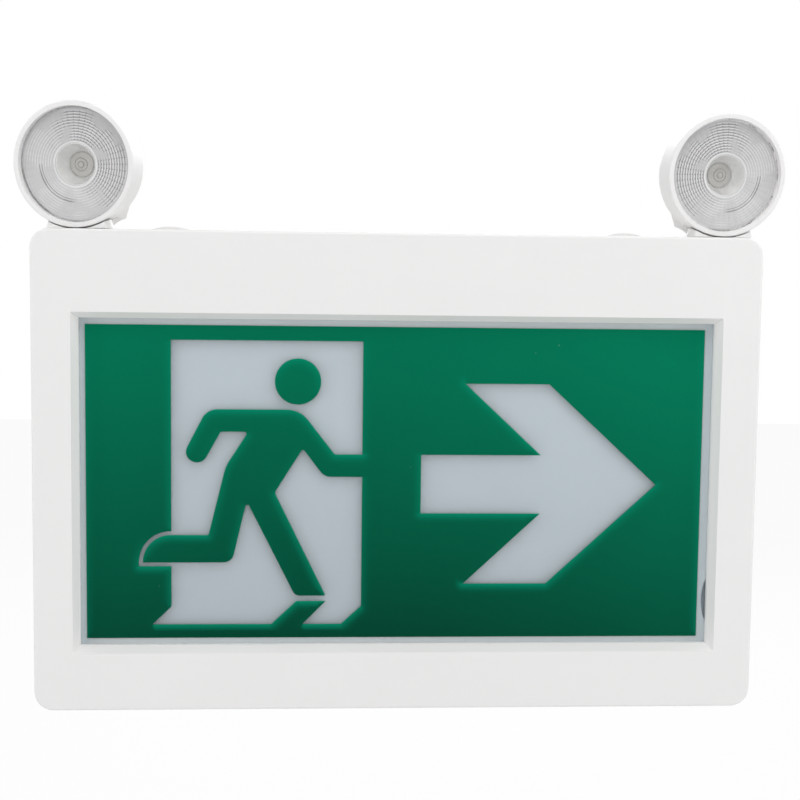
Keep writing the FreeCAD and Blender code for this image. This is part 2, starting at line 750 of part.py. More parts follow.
def make_light_box():
    """The white tray behind the panels, open to the front, with posts on its back."""
    tray = body("light_box")
    flange = facing(tray, "flange", TRAY_FRONT + S.tray_wall)
    rim = 2 * S.tray_flange
    rectangle(flange, span(0, TRAY_WIDTH + rim), span(WINDOW_Z, TRAY_HEIGHT + rim))
    pad(tray, flange, S.tray_wall)
    outside = facing(tray, "box_outside", TRAY_BACK)
    rectangle(outside, span(0, TRAY_WIDTH), span(WINDOW_Z, TRAY_HEIGHT))
    pad(tray, outside, TRAY_DEPTH)
    inside = facing(tray, "box_inside", TRAY_FRONT)
    rectangle(inside, span(0, TRAY_WIDTH - 2 * S.tray_wall), span(WINDOW_Z, TRAY_HEIGHT - 2 * S.tray_wall))
    pocket(tray, inside, TRAY_DEPTH - S.tray_wall)
    posts = board_post_places() + bracket_post_places()
    pad(tray, circles(facing(tray, "posts", BOARD_FRONT), posts, S.post_radius), S.post_height)
    hole = S.screw_radius + S.bolt_fit
    post_holes = circles(facing(tray, "post_holes", BOARD_FRONT), posts, hole)
    pocket(tray, post_holes, S.post_height, along_normal=True)
    flange_holes = circles(facing(tray, "flange_holes", TRAY_FRONT + S.tray_wall), boss_places(), hole)
    pocket(tray, flange_holes, S.tray_wall, along_normal=True)
    return tray


def make_light_bars():
    """A strip of light-emitting diodes along the top and one along the bottom of the tray."""
    bars = []
    depth = layer(TRAY_FRONT + S.tray_wall, TRAY_DEPTH - 2 * S.tray_wall - S.light_bar_gap)
    inner = TRAY_HEIGHT / 2 - S.tray_wall
    length = TRAY_WIDTH - 4 * S.tray_wall
    package, package_height = 3.5, 0.9
    count = int(float(S.light_count))
    for name, side in (("upper", 1), ("lower", -1)):
        outer = WINDOW_Z + side * inner
        face = outer - side * S.light_bar_thickness
        tip = face - side * package_height
        low, high = sorted((outer, face), key=float)
        bars.append(block(f"{name}_light_bar", span(0, length), depth, (low, high)))
        low, high = sorted((face, tip), key=float)
        lights = []
        middle = (depth[0] + depth[1]) / 2
        for number in range(count):
            x = (number + 0.5) * length / S.light_count - length / 2
            sides = span(x, package), span(middle, package)
            lights.append(block(f"{name}_light_{number}", *sides, (low, high)))
        bars.append(group(f"{name}_bar_lights", lights))
    return bars


def make_screw_groups():
    """Pan-head screws of the light box, the charger board and the battery bracket."""
    flange_rear = behind_front(TRAY_FRONT + S.tray_wall)
    sets = {
        "light_box_screws": (boss_places(), flange_rear, S.screw_length),
        "board_screws": (board_post_places(), behind_front(BOARD_REAR), S.screw_length - S.tray_wall),
        "bracket_screws": (bracket_post_places(), behind_front(BOARD_FRONT + S.bracket_thickness),
                           S.screw_length - S.tray_wall),
    }
    made = []
    for label, (places, face, length) in sets.items():
        shapes = []
        for number, (x, z) in enumerate(places):
            shapes += screw(f"{label}_{number}", x, face, z, length)
        made.append(group(label, shapes))
    return made


# ---------------------------------------------------------------- battery and charger board

def make_battery():
    """Four cells in one wrapped pack, held to the light box by a bracket bent over it."""
    pack = body("battery_pack")
    ends = sketch(pack, "pack_section", "YZ_Plane", BATTERY_X)
    depth = layer(TRAY_BACK, 2 * S.cell_radius)
    rounded_rectangle(ends, depth, span(BATTERY_Z, 4 * S.cell_radius), S.cell_radius - S.running_gap / 2)
    pad_both_ways(pack, ends, 2 * S.cell_length)

    strap = body("battery_bracket")
    section = sketch(strap, "bracket_section", "YZ_Plane", BATTERY_X)
    back, top = behind_front(TRAY_BACK + 2 * S.cell_radius), 2 * S.cell_radius
    skin, foot = S.bracket_thickness, S.bracket_foot
    face = behind_front(BOARD_FRONT)
    upper = [(face, top + skin + foot), (face + skin, top + skin + foot), (face + skin, top + skin),
             (back + skin, top + skin)]
    lower = [(face, top), (back, top)]
    outline = [(y, BATTERY_Z + z) for y, z in upper]
    outline += [(y, BATTERY_Z - z) for y, z in reversed(upper)]
    outline += [(y, BATTERY_Z - z) for y, z in lower]
    outline += [(y, BATTERY_Z + z) for y, z in reversed(lower)]
    pad_both_ways(strap, polygon(section, outline), S.bracket_width)
    holes = circles(sketch(strap, "bracket_holes", "XZ_Plane", -face), bracket_post_places(),
                    S.screw_radius + S.bolt_fit)
    pocket(strap, holes, S.bracket_thickness)
    return [pack, strap]


# Where each piece stands on the charger board, right of and above its middle.
BOARD_LAYOUT = {
    "transformer": (36, 6),
    "terminals": (-42, 22),
    "relay": (4, 12),
    "heat_sink": (-20, 15),
    "fuse": (-42, -4),
    "headers": ((27, -24), (40, -24), (-57, 4)),
}
# Capacitors: place, radius and height.
CAPACITORS = ((-12, -14, 5.2, 14), (2, -14, 5.2, 14), (13.5, -13, 4, 11))


def on_board(x, z):
    return BOARD_X + x, BOARD_Z + z


def stood(height, lift=0):
    """The Y planes of a piece that stands on the back of the charger board."""
    low = behind_front(BOARD_REAR) + lift
    return low, low + height


def make_charger_board():
    board = body("charger_board")
    outline = facing(board, "board_outline", BOARD_REAR)
    rectangle(outline, span(BOARD_X, S.board_length), span(BOARD_Z, S.board_height))
    pad(board, outline, S.board_thickness)
    hole = S.screw_radius + S.bolt_fit
    holes = circles(facing(board, "board_holes", BOARD_REAR), board_post_places(), hole)
    pocket(board, holes, S.board_thickness, along_normal=True)
    return board


def make_transformer():
    """Laminated core with a window each side of its middle leg, and the coil round that leg."""
    x, z = on_board(*BOARD_LAYOUT["transformer"])
    leg, window, limb, slack = 12, 5, 10, 0.4
    core_height, core_stack, core_lift, coil_stack = 32, 10, 2.5, 15
    stack = stood(core_stack, core_lift)
    core = block("core_block", span(x, 2 * (leg + window)), stack, span(z, core_height))
    windows = []
    for number, sign in enumerate((-1, 1)):
        middle = x + sign * (leg + window) / 2
        windows.append(block(f"core_window_{number}", span(middle, window), stack, span(z, 2 * limb)))
    coil_width, coil_height = leg + 2 * (window - slack), 2 * (limb - slack)
    coil = block("coil_block", span(x, coil_width), stood(coil_stack), span(z, coil_height))
    hole = block("coil_hole", span(x, leg), stack, span(z, 2 * limb))
    return [cut("transformer_core", core, windows), cut("transformer_coil", coil, [hole])]


def make_terminal_block():
    """Three screw terminals for the supply, with their wire mouths to the top."""
    x, z = on_board(*BOARD_LAYOUT["terminals"])
    pitch, count = 7, 3
    case_height, case_depth, case_margin = 12, 11, 1
    mouth_width, mouth_height, mouth_lift, mouth_back = 4.6, 6, 1.5, 1
    well_radius, well_depth, well_floor, driver_radius, driver_depth = 2.2, 4, 8.5, 1.9, 2.2
    floor = stood(0, well_floor)[0]
    hollows, drivers = [], []
    for number in range(count):
        across = x + pitch * (number - (count - 1) / 2)
        mouth_depth = z + mouth_back, z + case_depth / 2 + mouth_back
        mouth = span(across, mouth_width), stood(mouth_height, mouth_lift), mouth_depth
        hollows.append(block(f"terminal_mouth_{number}", *mouth))
        hollows.append(rod(f"terminal_well_{number}", well_radius, well_depth, (across, floor, z), "Y"))
        driver_foot = (across, floor, z)
        drivers.append(rod(f"terminal_driver_{number}", driver_radius, driver_depth, driver_foot, "Y"))
    case_sides = span(x, pitch * count + 2 * case_margin), stood(case_height), span(z, case_depth)
    case = block("terminal_case", *case_sides)
    return [cut("terminal_block", case, hollows), group("terminal_screws", drivers)]


def make_board_parts():
    """Relay, capacitors, finned heat sink, fuse in its clips, and the plug headers."""
    x, z = on_board(*BOARD_LAYOUT["relay"])
    relay_width, relay_rise, relay_height = 19, 15, 15.5
    made = [block("relay", span(x, relay_width), stood(relay_rise), span(z, relay_height))]

    surface = stood(0)[0]
    cans = []
    for number, (across, up, radius, height) in enumerate(CAPACITORS):
        x, z = on_board(across, up)
        cans.append(rod(f"can_{number}", radius, height, (x, surface, z), "Y"))
    made.append(group("capacitors", cans))

    x, z = on_board(*BOARD_LAYOUT["heat_sink"])
    sink_rise, web, sink_height, fin_width, fin, fin_pitch, fin_count = 14, 3, 24, 14, 1.4, 5, 5
    fins = [block("sink_web", span(x, web), stood(sink_rise), span(z, sink_height))]
    for number in range(fin_count):
        level = z + fin_pitch * (number - (fin_count - 1) / 2)
        fins.append(block(f"sink_fin_{number}", span(x, fin_width), stood(sink_rise), span(level, fin)))
    made.append(group("regulator_heat_sink", fins))

    x, z = on_board(*BOARD_LAYOUT["fuse"])
    radius, length, lift, clip, cheek, clip_rise = 2.6, 20, 3.4, 3, 0.6, 5
    fuse = rod("board_fuse", radius, length, (x - length / 2, surface + lift, z), "X")
    clips = []
    for number, sign in enumerate((-1, 1)):
        middle = x + sign * (length / 2 - clip)
        ear_sides = span(middle, clip), stood(clip_rise), span(z, 2 * (radius + cheek))
        ear = block(f"clip_ear_{number}", *ear_sides)
        seat = rod(f"clip_seat_{number}", radius, clip, (middle - clip / 2, surface + lift, z), "X")
        clips.append(cut(f"fuse_clip_{number}", ear, [seat]))
    made += [fuse, group("fuse_clips", clips)]

    header_width, header_rise, header_height = 8, 8, 6
    headers = []
    for number, (across, up) in enumerate(BOARD_LAYOUT["headers"]):
        x, z = on_board(across, up)
        sides = span(x, header_width), stood(header_rise), span(z, header_height)
        headers.append(block(f"header_{number}", *sides))
    made.append(group("board_headers", headers))
    return made


# ---------------------------------------------------------------- test button and pilot light

BOARD_FOOT = BOARD_Z - S.board_height / 2
SWITCH_TIP = BOARD_FOOT - S.switch_plunger
INNER_FLOOR = -INNER_TOP
UNDERSIDE = -FRAME_TOP


def upright(label, x, profile):
    """A turned piece that stands on its own vertical axis in the row of controls."""
    made = body(label)
    turned(made, polygon(sketch(made, f"{label}_profile", "XZ_Plane"), profile), axis="V_Axis")
    bind(made, Placement__Base__x=x, Placement__Base__y=behind_front(BUTTON_DEPTH))
    return made


def make_controls():
    """The push button, the switch that it works, and the pilot light with its light pipe."""
    switch_width, switch_rise, plunger_radius = 10, 8, 1.4
    diode_width, diode_margin, diode_radius = 5, 2, 1.5
    middle = behind_front(BUTTON_DEPTH)
    case = block("switch_case", span(BUTTON_X, switch_width), span(middle, 2 * S.button_offset),
                 (BOARD_FOOT, BOARD_FOOT + switch_rise))
    plunger = rod("switch_plunger", plunger_radius, S.switch_plunger, (BUTTON_X, middle, SWITCH_TIP), "Z")
    diode_depth = behind_front(BOARD_REAR), middle + diode_margin
    diode_rise = BOARD_FOOT, BOARD_FOOT + diode_width
    diode_case = block("diode_case", span(PILOT_X, diode_width), diode_depth, diode_rise)
    diode = rod("diode", diode_radius, S.switch_plunger, (PILOT_X, middle, SWITCH_TIP), "Z")

    flange = INNER_FLOOR + S.running_gap
    shoulder = flange + S.button_flange
    top = SWITCH_TIP - S.button_travel - S.running_gap
    face = UNDERSIDE - S.button_rise
    lip = S.button_radius + S.button_flange
    stem = S.button_radius / 2
    button = upright("test_button", BUTTON_X, [
        (0, face), (S.button_radius, face), (S.button_radius, flange), (lip, flange), (lip, shoulder),
        (stem, shoulder), (stem, top), (0, top)])

    collar = S.pilot_radius + S.button_flange / 2
    pipe = upright("pilot_lens", PILOT_X, [
        (0, UNDERSIDE - S.edge_radius), (S.pilot_radius, UNDERSIDE - S.edge_radius),
        (S.pilot_radius, INNER_FLOOR), (collar, INNER_FLOOR), (collar, INNER_FLOOR + S.button_flange),
        (S.pilot_radius, INNER_FLOOR + S.button_flange), (S.pilot_radius, SWITCH_TIP - S.running_gap),
        (0, SWITCH_TIP - S.running_gap)])
    return [group("test_switch", [case, plunger]), group("pilot_light", [diode_case, diode]), button, pipe]


# ---------------------------------------------------------------- swivel necks

def cosine(angle):
    return Size(math.cos(math.radians(float(angle))), f"cos({angle.formula})")


def sine(angle):
    return Size(math.sin(math.radians(float(angle))), f"sin({angle.formula})")


NECK_FOOT = S.running_gap
EAR_INNER = S.neck_half_width - S.ear_thickness
EAR_RADIUS = S.lamp_reach - S.drum_depth - S.running_gap
BOLT_BORE = S.bolt_radius + S.bolt_fit
RECESS = S.bolt_head_height + S.bolt_fit
EAR_TOP = S.pivot_height + EAR_RADIUS
WAIST_HALF_WIDTH = S.neck_half_width - S.neck_flare * (S.pivot_height - S.neck_waist_height)
EAR_TOP_HALF_WIDTH = S.neck_half_width + S.neck_flare * EAR_RADIUS
# Height and inset of the middle of the undercut's hollow curve, each as a share of the whole.
UNDERCUT_MIDDLE = (0.55, 0.62)


def ear_outline(drawing):
    """Side view of the ears: a block whose top is an arc about the tilt pivot."""
    pivot, height, radius = S.pivot_setback, S.pivot_height, EAR_RADIUS
    corners = [(pivot - radius, height), (S.ear_front, S.neck_waist_height),
               (pivot + radius, S.neck_waist_height), (pivot + radius, height)]
    return capped_outline(drawing, corners, (pivot, height + radius), (pivot, height))


def neck_front():
    """The Y of the foot's flat front: just behind the foot of the lamp's rim at its lower stop."""
    dip = S.stop_pitch
    rim_foot = S.lamp_radius - S.lamp_rise
    return S.pivot_setback - S.lamp_reach * cosine(dip) + rim_foot * sine(dip) + S.running_gap


def clear_for_lamp(neck, name):
    """Hollows the neck to the room of the drum at its lower stop, with a gap all round."""
    drawing = sketch(neck, f"{name}_drum_room", "YZ_Plane")
    drawing.AttachmentOffset = Placement(Vector(), Rotation(Vector(0, 0, 1), float(S.stop_pitch)))
    dip = S.stop_pitch
    across = S.pivot_setback - S.lamp_reach * cosine(dip) - S.lamp_rise * sine(dip)
    up = S.pivot_height - S.lamp_reach * sine(dip) + S.lamp_rise * cosine(dip)
    bind(drawing, AttachmentOffset__Base__x=across, AttachmentOffset__Base__y=up,
         AttachmentOffset__Rotation__Angle=dip)
    rectangle(drawing, (-S.running_gap, S.drum_depth + S.running_gap), (0, S.lamp_radius + S.running_gap))
    return turned(neck, drawing, kind="Groove")


def make_neck(name):
    """A turned foot on a hollow collar, with two ears behind the lamp that carry its pivot."""
    neck = body(f"{name}_neck")
    foot = sketch(neck, f"{name}_foot", "XZ_Plane")
    polygon(foot, [
        (S.lead_bore_radius, -S.collar_length), (S.collar_radius, -S.collar_length),
        (S.collar_radius, NECK_FOOT), (S.neck_base_radius, NECK_FOOT),
        (S.neck_waist_radius, S.neck_waist_height), (S.lead_bore_radius, S.neck_waist_height)])
    turned(neck, foot, axis="V_Axis")
    front = sketch(neck, f"{name}_front_cut", "YZ_Plane")
    beyond = 2 * S.neck_base_radius
    rectangle(front, (-beyond, neck_front()), (NECK_FOOT, S.neck_waist_height))
    pocket_both_ways(neck, front, beyond)

    rear = S.pivot_setback + EAR_RADIUS
    hollow = S.neck_waist_height - NECK_FOOT
    levels = []
    for number, (rise, inward) in enumerate(((0, 1), UNDERCUT_MIDDLE, (1, 0))):
        level = sketch(neck, f"{name}_undercut_{number}", "XY_Plane", NECK_FOOT + hollow * rise)
        inset = S.neck_undercut * inward
        rectangle(level, both_sides(WAIST_HALF_WIDTH - inset), (S.ear_front, rear - inset))
        levels.append(level)
    underside = feature(neck, "AdditiveLoft", levels[0])
    underside.Sections = [(level, [""]) for level in levels[1:]]
    pad_both_ways(neck, ear_outline(sketch(neck, f"{name}_ears", "YZ_Plane")), 2 * EAR_TOP_HALF_WIDTH)
    flare = sketch(neck, f"{name}_flare", "XZ_Plane")
    for side in (-1, 1):
        outer = side * EAR_TOP_HALF_WIDTH
        foot_corner = (side * WAIST_HALF_WIDTH, S.neck_waist_height)
        polygon(flare, [foot_corner, (outer, EAR_TOP), (outer, S.neck_waist_height)])
    pocket_both_ways(neck, flare, 2 * rear)

    slot = sketch(neck, f"{name}_slot", "YZ_Plane")
    rectangle(slot, (S.ear_front, rear), (S.slot_floor, EAR_TOP))
    pocket_both_ways(neck, slot, 2 * EAR_INNER)
    lead_hole = sketch(neck, f"{name}_lead_hole", "XY_Plane", -S.collar_length)
    circle(lead_hole, 0, 0, S.lead_bore_radius)
    pocket(neck, lead_hole, S.collar_length + EAR_TOP, along_normal=True)
    clear_for_lamp(neck, name)

    bore_sketch = sketch(neck, f"{name}_pivot_bore", "YZ_Plane")
    bore = circle(bore_sketch, S.pivot_setback, S.pivot_height, BOLT_BORE)
    pocket_both_ways(neck, bore, 2 * EAR_TOP_HALF_WIDTH)
    for side, end in ((1, "head"), (-1, "nut")):
        recess = sketch(neck, f"{name}_{end}_recess", "YZ_Plane", side * EAR_TOP_HALF_WIDTH)
        circle(recess, S.pivot_setback, S.pivot_height, S.bolt_head_radius + S.bolt_fit)
        depth = RECESS + EAR_TOP_HALF_WIDTH - S.neck_half_width
        pocket(neck, recess, depth, along_normal=side < 0)
    return neck


def hexagonal(drawing, centre, across, bore):
    """A hexagon with a round hole in a sketch: the section of a nut."""
    turn = [math.radians(60 * number) for number in range(6)]
    polygon(drawing, [(centre[0] + across * math.cos(a), centre[1] + across * math.sin(a)) for a in turn])
    return circle(drawing, *centre, bore)


def make_swivel_hardware(name):
    """Washer and nut on the collar under the top wall, and the tilt bolt with its nut and washers."""
    under = -(S.wall + S.running_gap)
    washer = body(f"{name}_neck_washer")
    ring = sketch(washer, f"{name}_washer_ring", "XY_Plane", under)
    circle(ring, 0, 0, S.nut_radius)
    circle(ring, 0, 0, S.collar_radius + S.bolt_fit)
    pad(washer, ring, S.washer_thickness).Reversed = True

    nut = body(f"{name}_neck_nut")
    section = sketch(nut, f"{name}_nut_section", "XY_Plane", under - S.washer_thickness)
    hexagonal(section, (sized(0), sized(0)), S.nut_radius, S.collar_radius)
    pad(nut, section, S.nut_height).Reversed = True

    pivot = (S.pivot_setback, S.pivot_height)
    seat = S.neck_half_width - RECESS
    tip = -seat - S.bolt_head_height
    bolt = group(f"{name}_pivot_bolt", [
        rod(f"{name}_bolt_head", S.bolt_head_radius, S.bolt_head_height, (seat, *pivot), "X"),
        rod(f"{name}_bolt_shank", S.bolt_radius, seat - tip, (tip, *pivot), "X")])

    pivot_nut = body(f"{name}_pivot_nut")
    section = sketch(pivot_nut, f"{name}_pivot_nut_section", "YZ_Plane", -seat)
    hexagonal(section, pivot, S.bolt_head_radius, S.bolt_radius)
    pad(pivot_nut, section, S.bolt_head_height).Reversed = True

    washers = []
    for end, start in (("head", EAR_INNER - S.friction_washer), ("nut", -EAR_INNER)):
        label = f"{name}_friction_{end}"
        disc = rod(f"{label}_disc", S.bolt_head_radius, S.friction_washer, (start, *pivot), "X")
        hole = rod(f"{label}_hole", BOLT_BORE, S.friction_washer, (start, *pivot), "X")
        washers.append(cut(f"{label}_washer", disc, [hole]))
    return [washer, nut, bolt, pivot_nut, group(f"{name}_friction_washers", washers)]


# ---------------------------------------------------------------- lamp heads

LENS_REAR = S.lens_recess + S.lens_thickness
LENS_SEAT = S.lamp_radius - S.rim_width
LENS_RADIUS = LENS_SEAT - S.bolt_fit
DRUM_RADIUS = S.lamp_radius - S.drum_step
CAVITY_RADIUS = DRUM_RADIUS - S.drum_wall
SINK_REAR = S.drum_depth - S.back_wall
SINK_FRONT = SINK_REAR - S.heat_sink_thickness
LAMP_BOARD_FRONT = SINK_FRONT - S.board_thickness


def make_lamp_shell(name):
    """The hollow drum with its rim, and the tongue behind it that turns on the pivot bolt."""
    shell = body(f"{name}_lamp_shell")
    profile = sketch(shell, f"{name}_drum_profile", "XY_Plane")
    polygon(profile, [
        (LENS_SEAT, 0), (S.lamp_radius, 0), (S.lamp_radius, S.rim_length), (DRUM_RADIUS, S.rim_length),
        (DRUM_RADIUS, S.drum_depth), (0, S.drum_depth), (0, SINK_REAR), (CAVITY_RADIUS, SINK_REAR),
        (CAVITY_RADIUS, LENS_REAR), (LENS_SEAT, LENS_REAR)])
    drum = turned(shell, profile, axis="V_Axis")
    depth, radius = float(S.drum_depth), float(DRUM_RADIUS)
    back = fillet(shell, drum, S.drum_corner, lambda edge: is_ring(edge, depth, radius))
    fillet(shell, back, S.rim_corner, lambda edge: is_ring(edge, 0, float(S.lamp_radius)))

    tongue = sketch(shell, f"{name}_tongue", "YZ_Plane")
    across, up, boss = S.lamp_reach, -S.lamp_rise, S.tongue_radius
    root = S.drum_depth - S.back_wall / 2
    corners = [(across, up + boss), (root, up + boss + S.gusset_rise),
               (root, up - boss), (across, up - boss)]
    capped_outline(tongue, corners, (across + boss, up), (across, up))
    pad_both_ways(shell, tongue, 2 * S.tongue_half_width)
    bore = circle(sketch(shell, f"{name}_tongue_bore", "YZ_Plane"), across, up, BOLT_BORE)
    pocket_both_ways(shell, bore, 2 * S.tongue_half_width)
    return shell


def is_ring(edge, depth, radius):
    """Whether an edge is the full circle of a given radius at a given depth in the drum."""
    box = edge.BoundBox
    return abs(box.YMin - depth) < 0.01 and box.YLength < 0.01 and abs(box.XMax - radius) < 0.01


def make_lens(name):
    """A clear disc whose rear face is cut into rings like a saw."""
    lens = body(f"{name}_lens")
    count = int(float(S.lens_ring_count))
    inner, outer = S.collimator_radius, LENS_RADIUS - S.rim_width
    pitch = (outer - inner) / S.lens_ring_count
    outline = [(0, S.lens_recess), (LENS_RADIUS, S.lens_recess),
               (LENS_RADIUS, LENS_REAR), (outer, LENS_REAR)]
    for number in range(count):
        peak = outer - number * pitch
        outline += [(peak, LENS_REAR - S.lens_ring_depth), (peak - pitch, LENS_REAR)]
    outline.append((0, LENS_REAR))
    profile = polygon(sketch(lens, f"{name}_lens_profile", "XY_Plane"), outline)
    turned(lens, profile, axis="V_Axis")
    return lens


def make_lamp_inside(name):
    """Reflector cup, light source, board and heat sink on the drum's axis, and two screws."""
    cup = body(f"{name}_reflector")
    wall, front = S.reflector_wall, LENS_REAR + S.running_gap / 2
    profile = [(S.collimator_throat - wall, LAMP_BOARD_FRONT), (S.collimator_throat, LAMP_BOARD_FRONT),
               (S.collimator_radius, front), (S.collimator_radius - wall, front)]
    turned(cup, polygon(sketch(cup, f"{name}_cup_profile", "XY_Plane"), profile), axis="V_Axis")

    base, dome, height = 2.6, 1.8, 0.6
    emitter = group(f"{name}_emitter", [
        rod(f"{name}_emitter_base", base, height, (0, LAMP_BOARD_FRONT - height, 0), "Y"),
        rod(f"{name}_emitter_dome", dome, height, (0, LAMP_BOARD_FRONT - 2 * height, 0), "Y")])

    made = [cup, emitter]
    hole = S.screw_radius + S.bolt_fit
    screws = []
    places = [(sign * S.lamp_screw_spacing / 2, 0) for sign in (-1, 1)]
    for label, radius, start, thickness in (
            ("lamp_board", S.lamp_board_radius, LAMP_BOARD_FRONT, S.board_thickness),
            ("heat_sink", S.heat_sink_radius, SINK_FRONT, S.heat_sink_thickness)):
        disc = body(f"{name}_{label}")
        outline = circle(sketch(disc, f"{name}_{label}_outline", "XZ_Plane", -start), 0, 0, radius)
        pad(disc, circles(outline, places, hole), thickness).Reversed = True
        made.append(disc)
    for number, (x, z) in enumerate(places):
        start = (x, LAMP_BOARD_FRONT - S.lamp_screw_head_height, z)
        seat = (x, LAMP_BOARD_FRONT, z)
        length = SINK_REAR - LAMP_BOARD_FRONT
        head = (S.lamp_screw_head_radius, S.lamp_screw_head_height)
        screws.append(rod(f"{name}_screw_head_{number}", *head, start, "Y"))
        screws.append(rod(f"{name}_screw_shank_{number}", S.screw_radius, length, seat, "Y"))
    made.append(group(f"{name}_lamp_screws", screws))
    return made


def make_head(name):
    """One side's neck with its hardware on the swivel axis, and its lamp on the tilt pivot."""
    turn, pitch = LAMP_POSES[name]
    across, depth = float(SWIVEL_X[name]), float(behind_front(S.swivel_setback))
    swivel = Placement(Vector(across, depth, float(FRAME_TOP)), Rotation(Vector(0, 0, 1), turn))
    pivot_place = Vector(0, float(S.pivot_setback), float(S.pivot_height))
    pivot = Placement(pivot_place, Rotation(Vector(1, 0, 0), pitch))
    face = Placement(Vector(0, -float(S.lamp_reach), float(S.lamp_rise)), Rotation())
    neck_parts = [make_neck(name)] + make_swivel_hardware(name)
    lamp_parts = [make_lamp_shell(name), make_lens(name)] + make_lamp_inside(name)
    for part in neck_parts:
        part.Placement = swivel * part.Placement
    for part in lamp_parts:
        part.Placement = swivel * pivot * face * part.Placement
    return neck_parts + lamp_parts


# ---------------------------------------------------------------- whole light

def make_all():
    parts = [make_housing(), make_back_plate(), make_legend_film()]
    parts += make_panels()
    parts.append(make_light_box())
    parts += make_light_bars() + make_screw_groups() + make_battery()
    parts.append(make_charger_board())
    parts += make_transformer() + make_terminal_block() + make_board_parts() + make_controls()
    for name in LAMP_POSES:
        parts += make_head(name)
    return parts


def checked(parts):
    """Stops the build if any object failed or any sub-part's shape isn't sound."""
    doc.recompute()
    failed = [item.Label for item in doc.Objects if {"Invalid", "Error"} & set(item.State)]
    unsound = [part.Label for part in parts if part.Shape.isNull() or not part.Shape.isValid()]
    if failed or unsound:
        raise RuntimeError(f"failed: {failed}, unsound: {unsound}")
    return parts


def write_parts(parts):
    os.makedirs("parts", exist_ok=True)
    for part in parts:
        part.Shape.exportStep(f"parts/{part.Label}.step")
        print(f"{part.Label}: {len(part.Shape.Solids)} solids, {part.Shape.Volume:.0f} mm3")


write_parts(checked(make_all()))
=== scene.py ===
"""Dresses an emergency exit light: its lenses, legend, lamp optics, controls and finishes."""

import math

import bpy
from bpy.props import FloatProperty, FloatVectorProperty, IntProperty, PointerProperty
from bpy.types import Operator, Panel, PropertyGroup
from mathutils import Matrix, Vector
from mathutils.kdtree import KDTree


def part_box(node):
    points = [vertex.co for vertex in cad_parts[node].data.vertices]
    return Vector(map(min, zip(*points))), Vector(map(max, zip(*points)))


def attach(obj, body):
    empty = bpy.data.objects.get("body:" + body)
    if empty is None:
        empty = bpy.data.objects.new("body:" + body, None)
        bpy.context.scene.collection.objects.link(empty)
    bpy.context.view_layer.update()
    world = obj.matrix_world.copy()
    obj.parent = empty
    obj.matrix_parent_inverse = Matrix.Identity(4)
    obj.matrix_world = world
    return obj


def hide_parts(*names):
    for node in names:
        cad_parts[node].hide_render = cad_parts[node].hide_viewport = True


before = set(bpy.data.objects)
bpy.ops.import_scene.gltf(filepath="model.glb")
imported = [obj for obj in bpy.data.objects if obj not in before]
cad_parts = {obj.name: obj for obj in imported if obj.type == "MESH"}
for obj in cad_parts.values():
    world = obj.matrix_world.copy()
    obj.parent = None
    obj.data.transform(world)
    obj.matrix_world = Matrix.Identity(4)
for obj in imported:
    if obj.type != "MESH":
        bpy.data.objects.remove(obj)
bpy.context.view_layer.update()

bl_info = {
    "name": "Emergency Exit Light",
    "version": (1, 0, 0),
    "blender": (4, 5, 0),
    "location": "3D View > Sidebar > Exit Light",
    "description": "Builds the lenses, legend, optics and finishes of an emergency exit light",
    "category": "Object",
}

SIDES = ("left", "right")
MM = 0.001
MERGED = 0.001 * MM  # vertices nearer than this become one
TOUCHING = 0.01 * MM  # how far off a plane a vertex still counts as lying on it
FACING = 0.9  # how much of a face's normal lies along an axis when the face looks that way


# ---------------------------------------------------------------- settings

def size(name, description, default):
    return FloatProperty(name=name, description=description, default=default * MM, unit="LENGTH",
                         precision=5, min=0.0)


def tint(name, description, default):
    return FloatVectorProperty(name=name, description=description, default=default, subtype="COLOR",
                               size=3, min=0.0, max=1.0)


class ExitLightSizes(PropertyGroup):
    """Sizes that the new pieces add to those of the frame."""

    lens_rings: IntProperty(name="Lens rings", description="Rings of cells on each lens",
                            default=11, min=3)
    lens_sectors: IntProperty(name="Lens sectors", description="Cells in each ring",
                              default=48, min=12)
    cell_gap: size("Cell gap", "Width of the groove between two cells", 0.3)
    cell_depth: size("Cell depth", "How far each cell stands off the lens", 0.12)
    cell_crown: size("Cell crown", "Further rise of the middle of each cell", 0.05)
    lens_margin: size("Lens margin", "Plain band between the cells and the lens's edge", 1.9)
    lens_centre: size("Lens centre", "Radius of the plain middle of the lens", 10.6)
    bead_width: size("Bead width", "Width of the bead round the middle of the lens", 0.8)
    bead_height: size("Bead height", "How far that bead stands forward", 0.35)
    tab_height: size("Tab height", "How far the lens's locking tabs stand forward", 0.3)
    cup_mouth: size("Cup mouth", "Radius of the lamp cup's open end", 9.4)
    cup_throat: size("Cup throat", "Radius of the lamp cup's end at the emitter", 6.0)
    cup_wall: size("Cup wall", "Thickness of the lamp cup", 0.4)
    emitter_radius: size("Emitter radius", "Radius of the light source's body", 5.7)
    # Reach of the painted glow beside the film's clear shapes.
    painted_glow_reach: size("Glow reach", "How far light spreads in the film from its clear shapes", 4.4)
    film_grid: size("Film grid", "Spacing of the film's cuts", 1.6)
    sheet_gap: size("Sheet gap", "Air each side of the clear sheet", 0.1)
    sheet_edge: size("Sheet edge", "Width of the clear sheet's broken edge", 0.3)


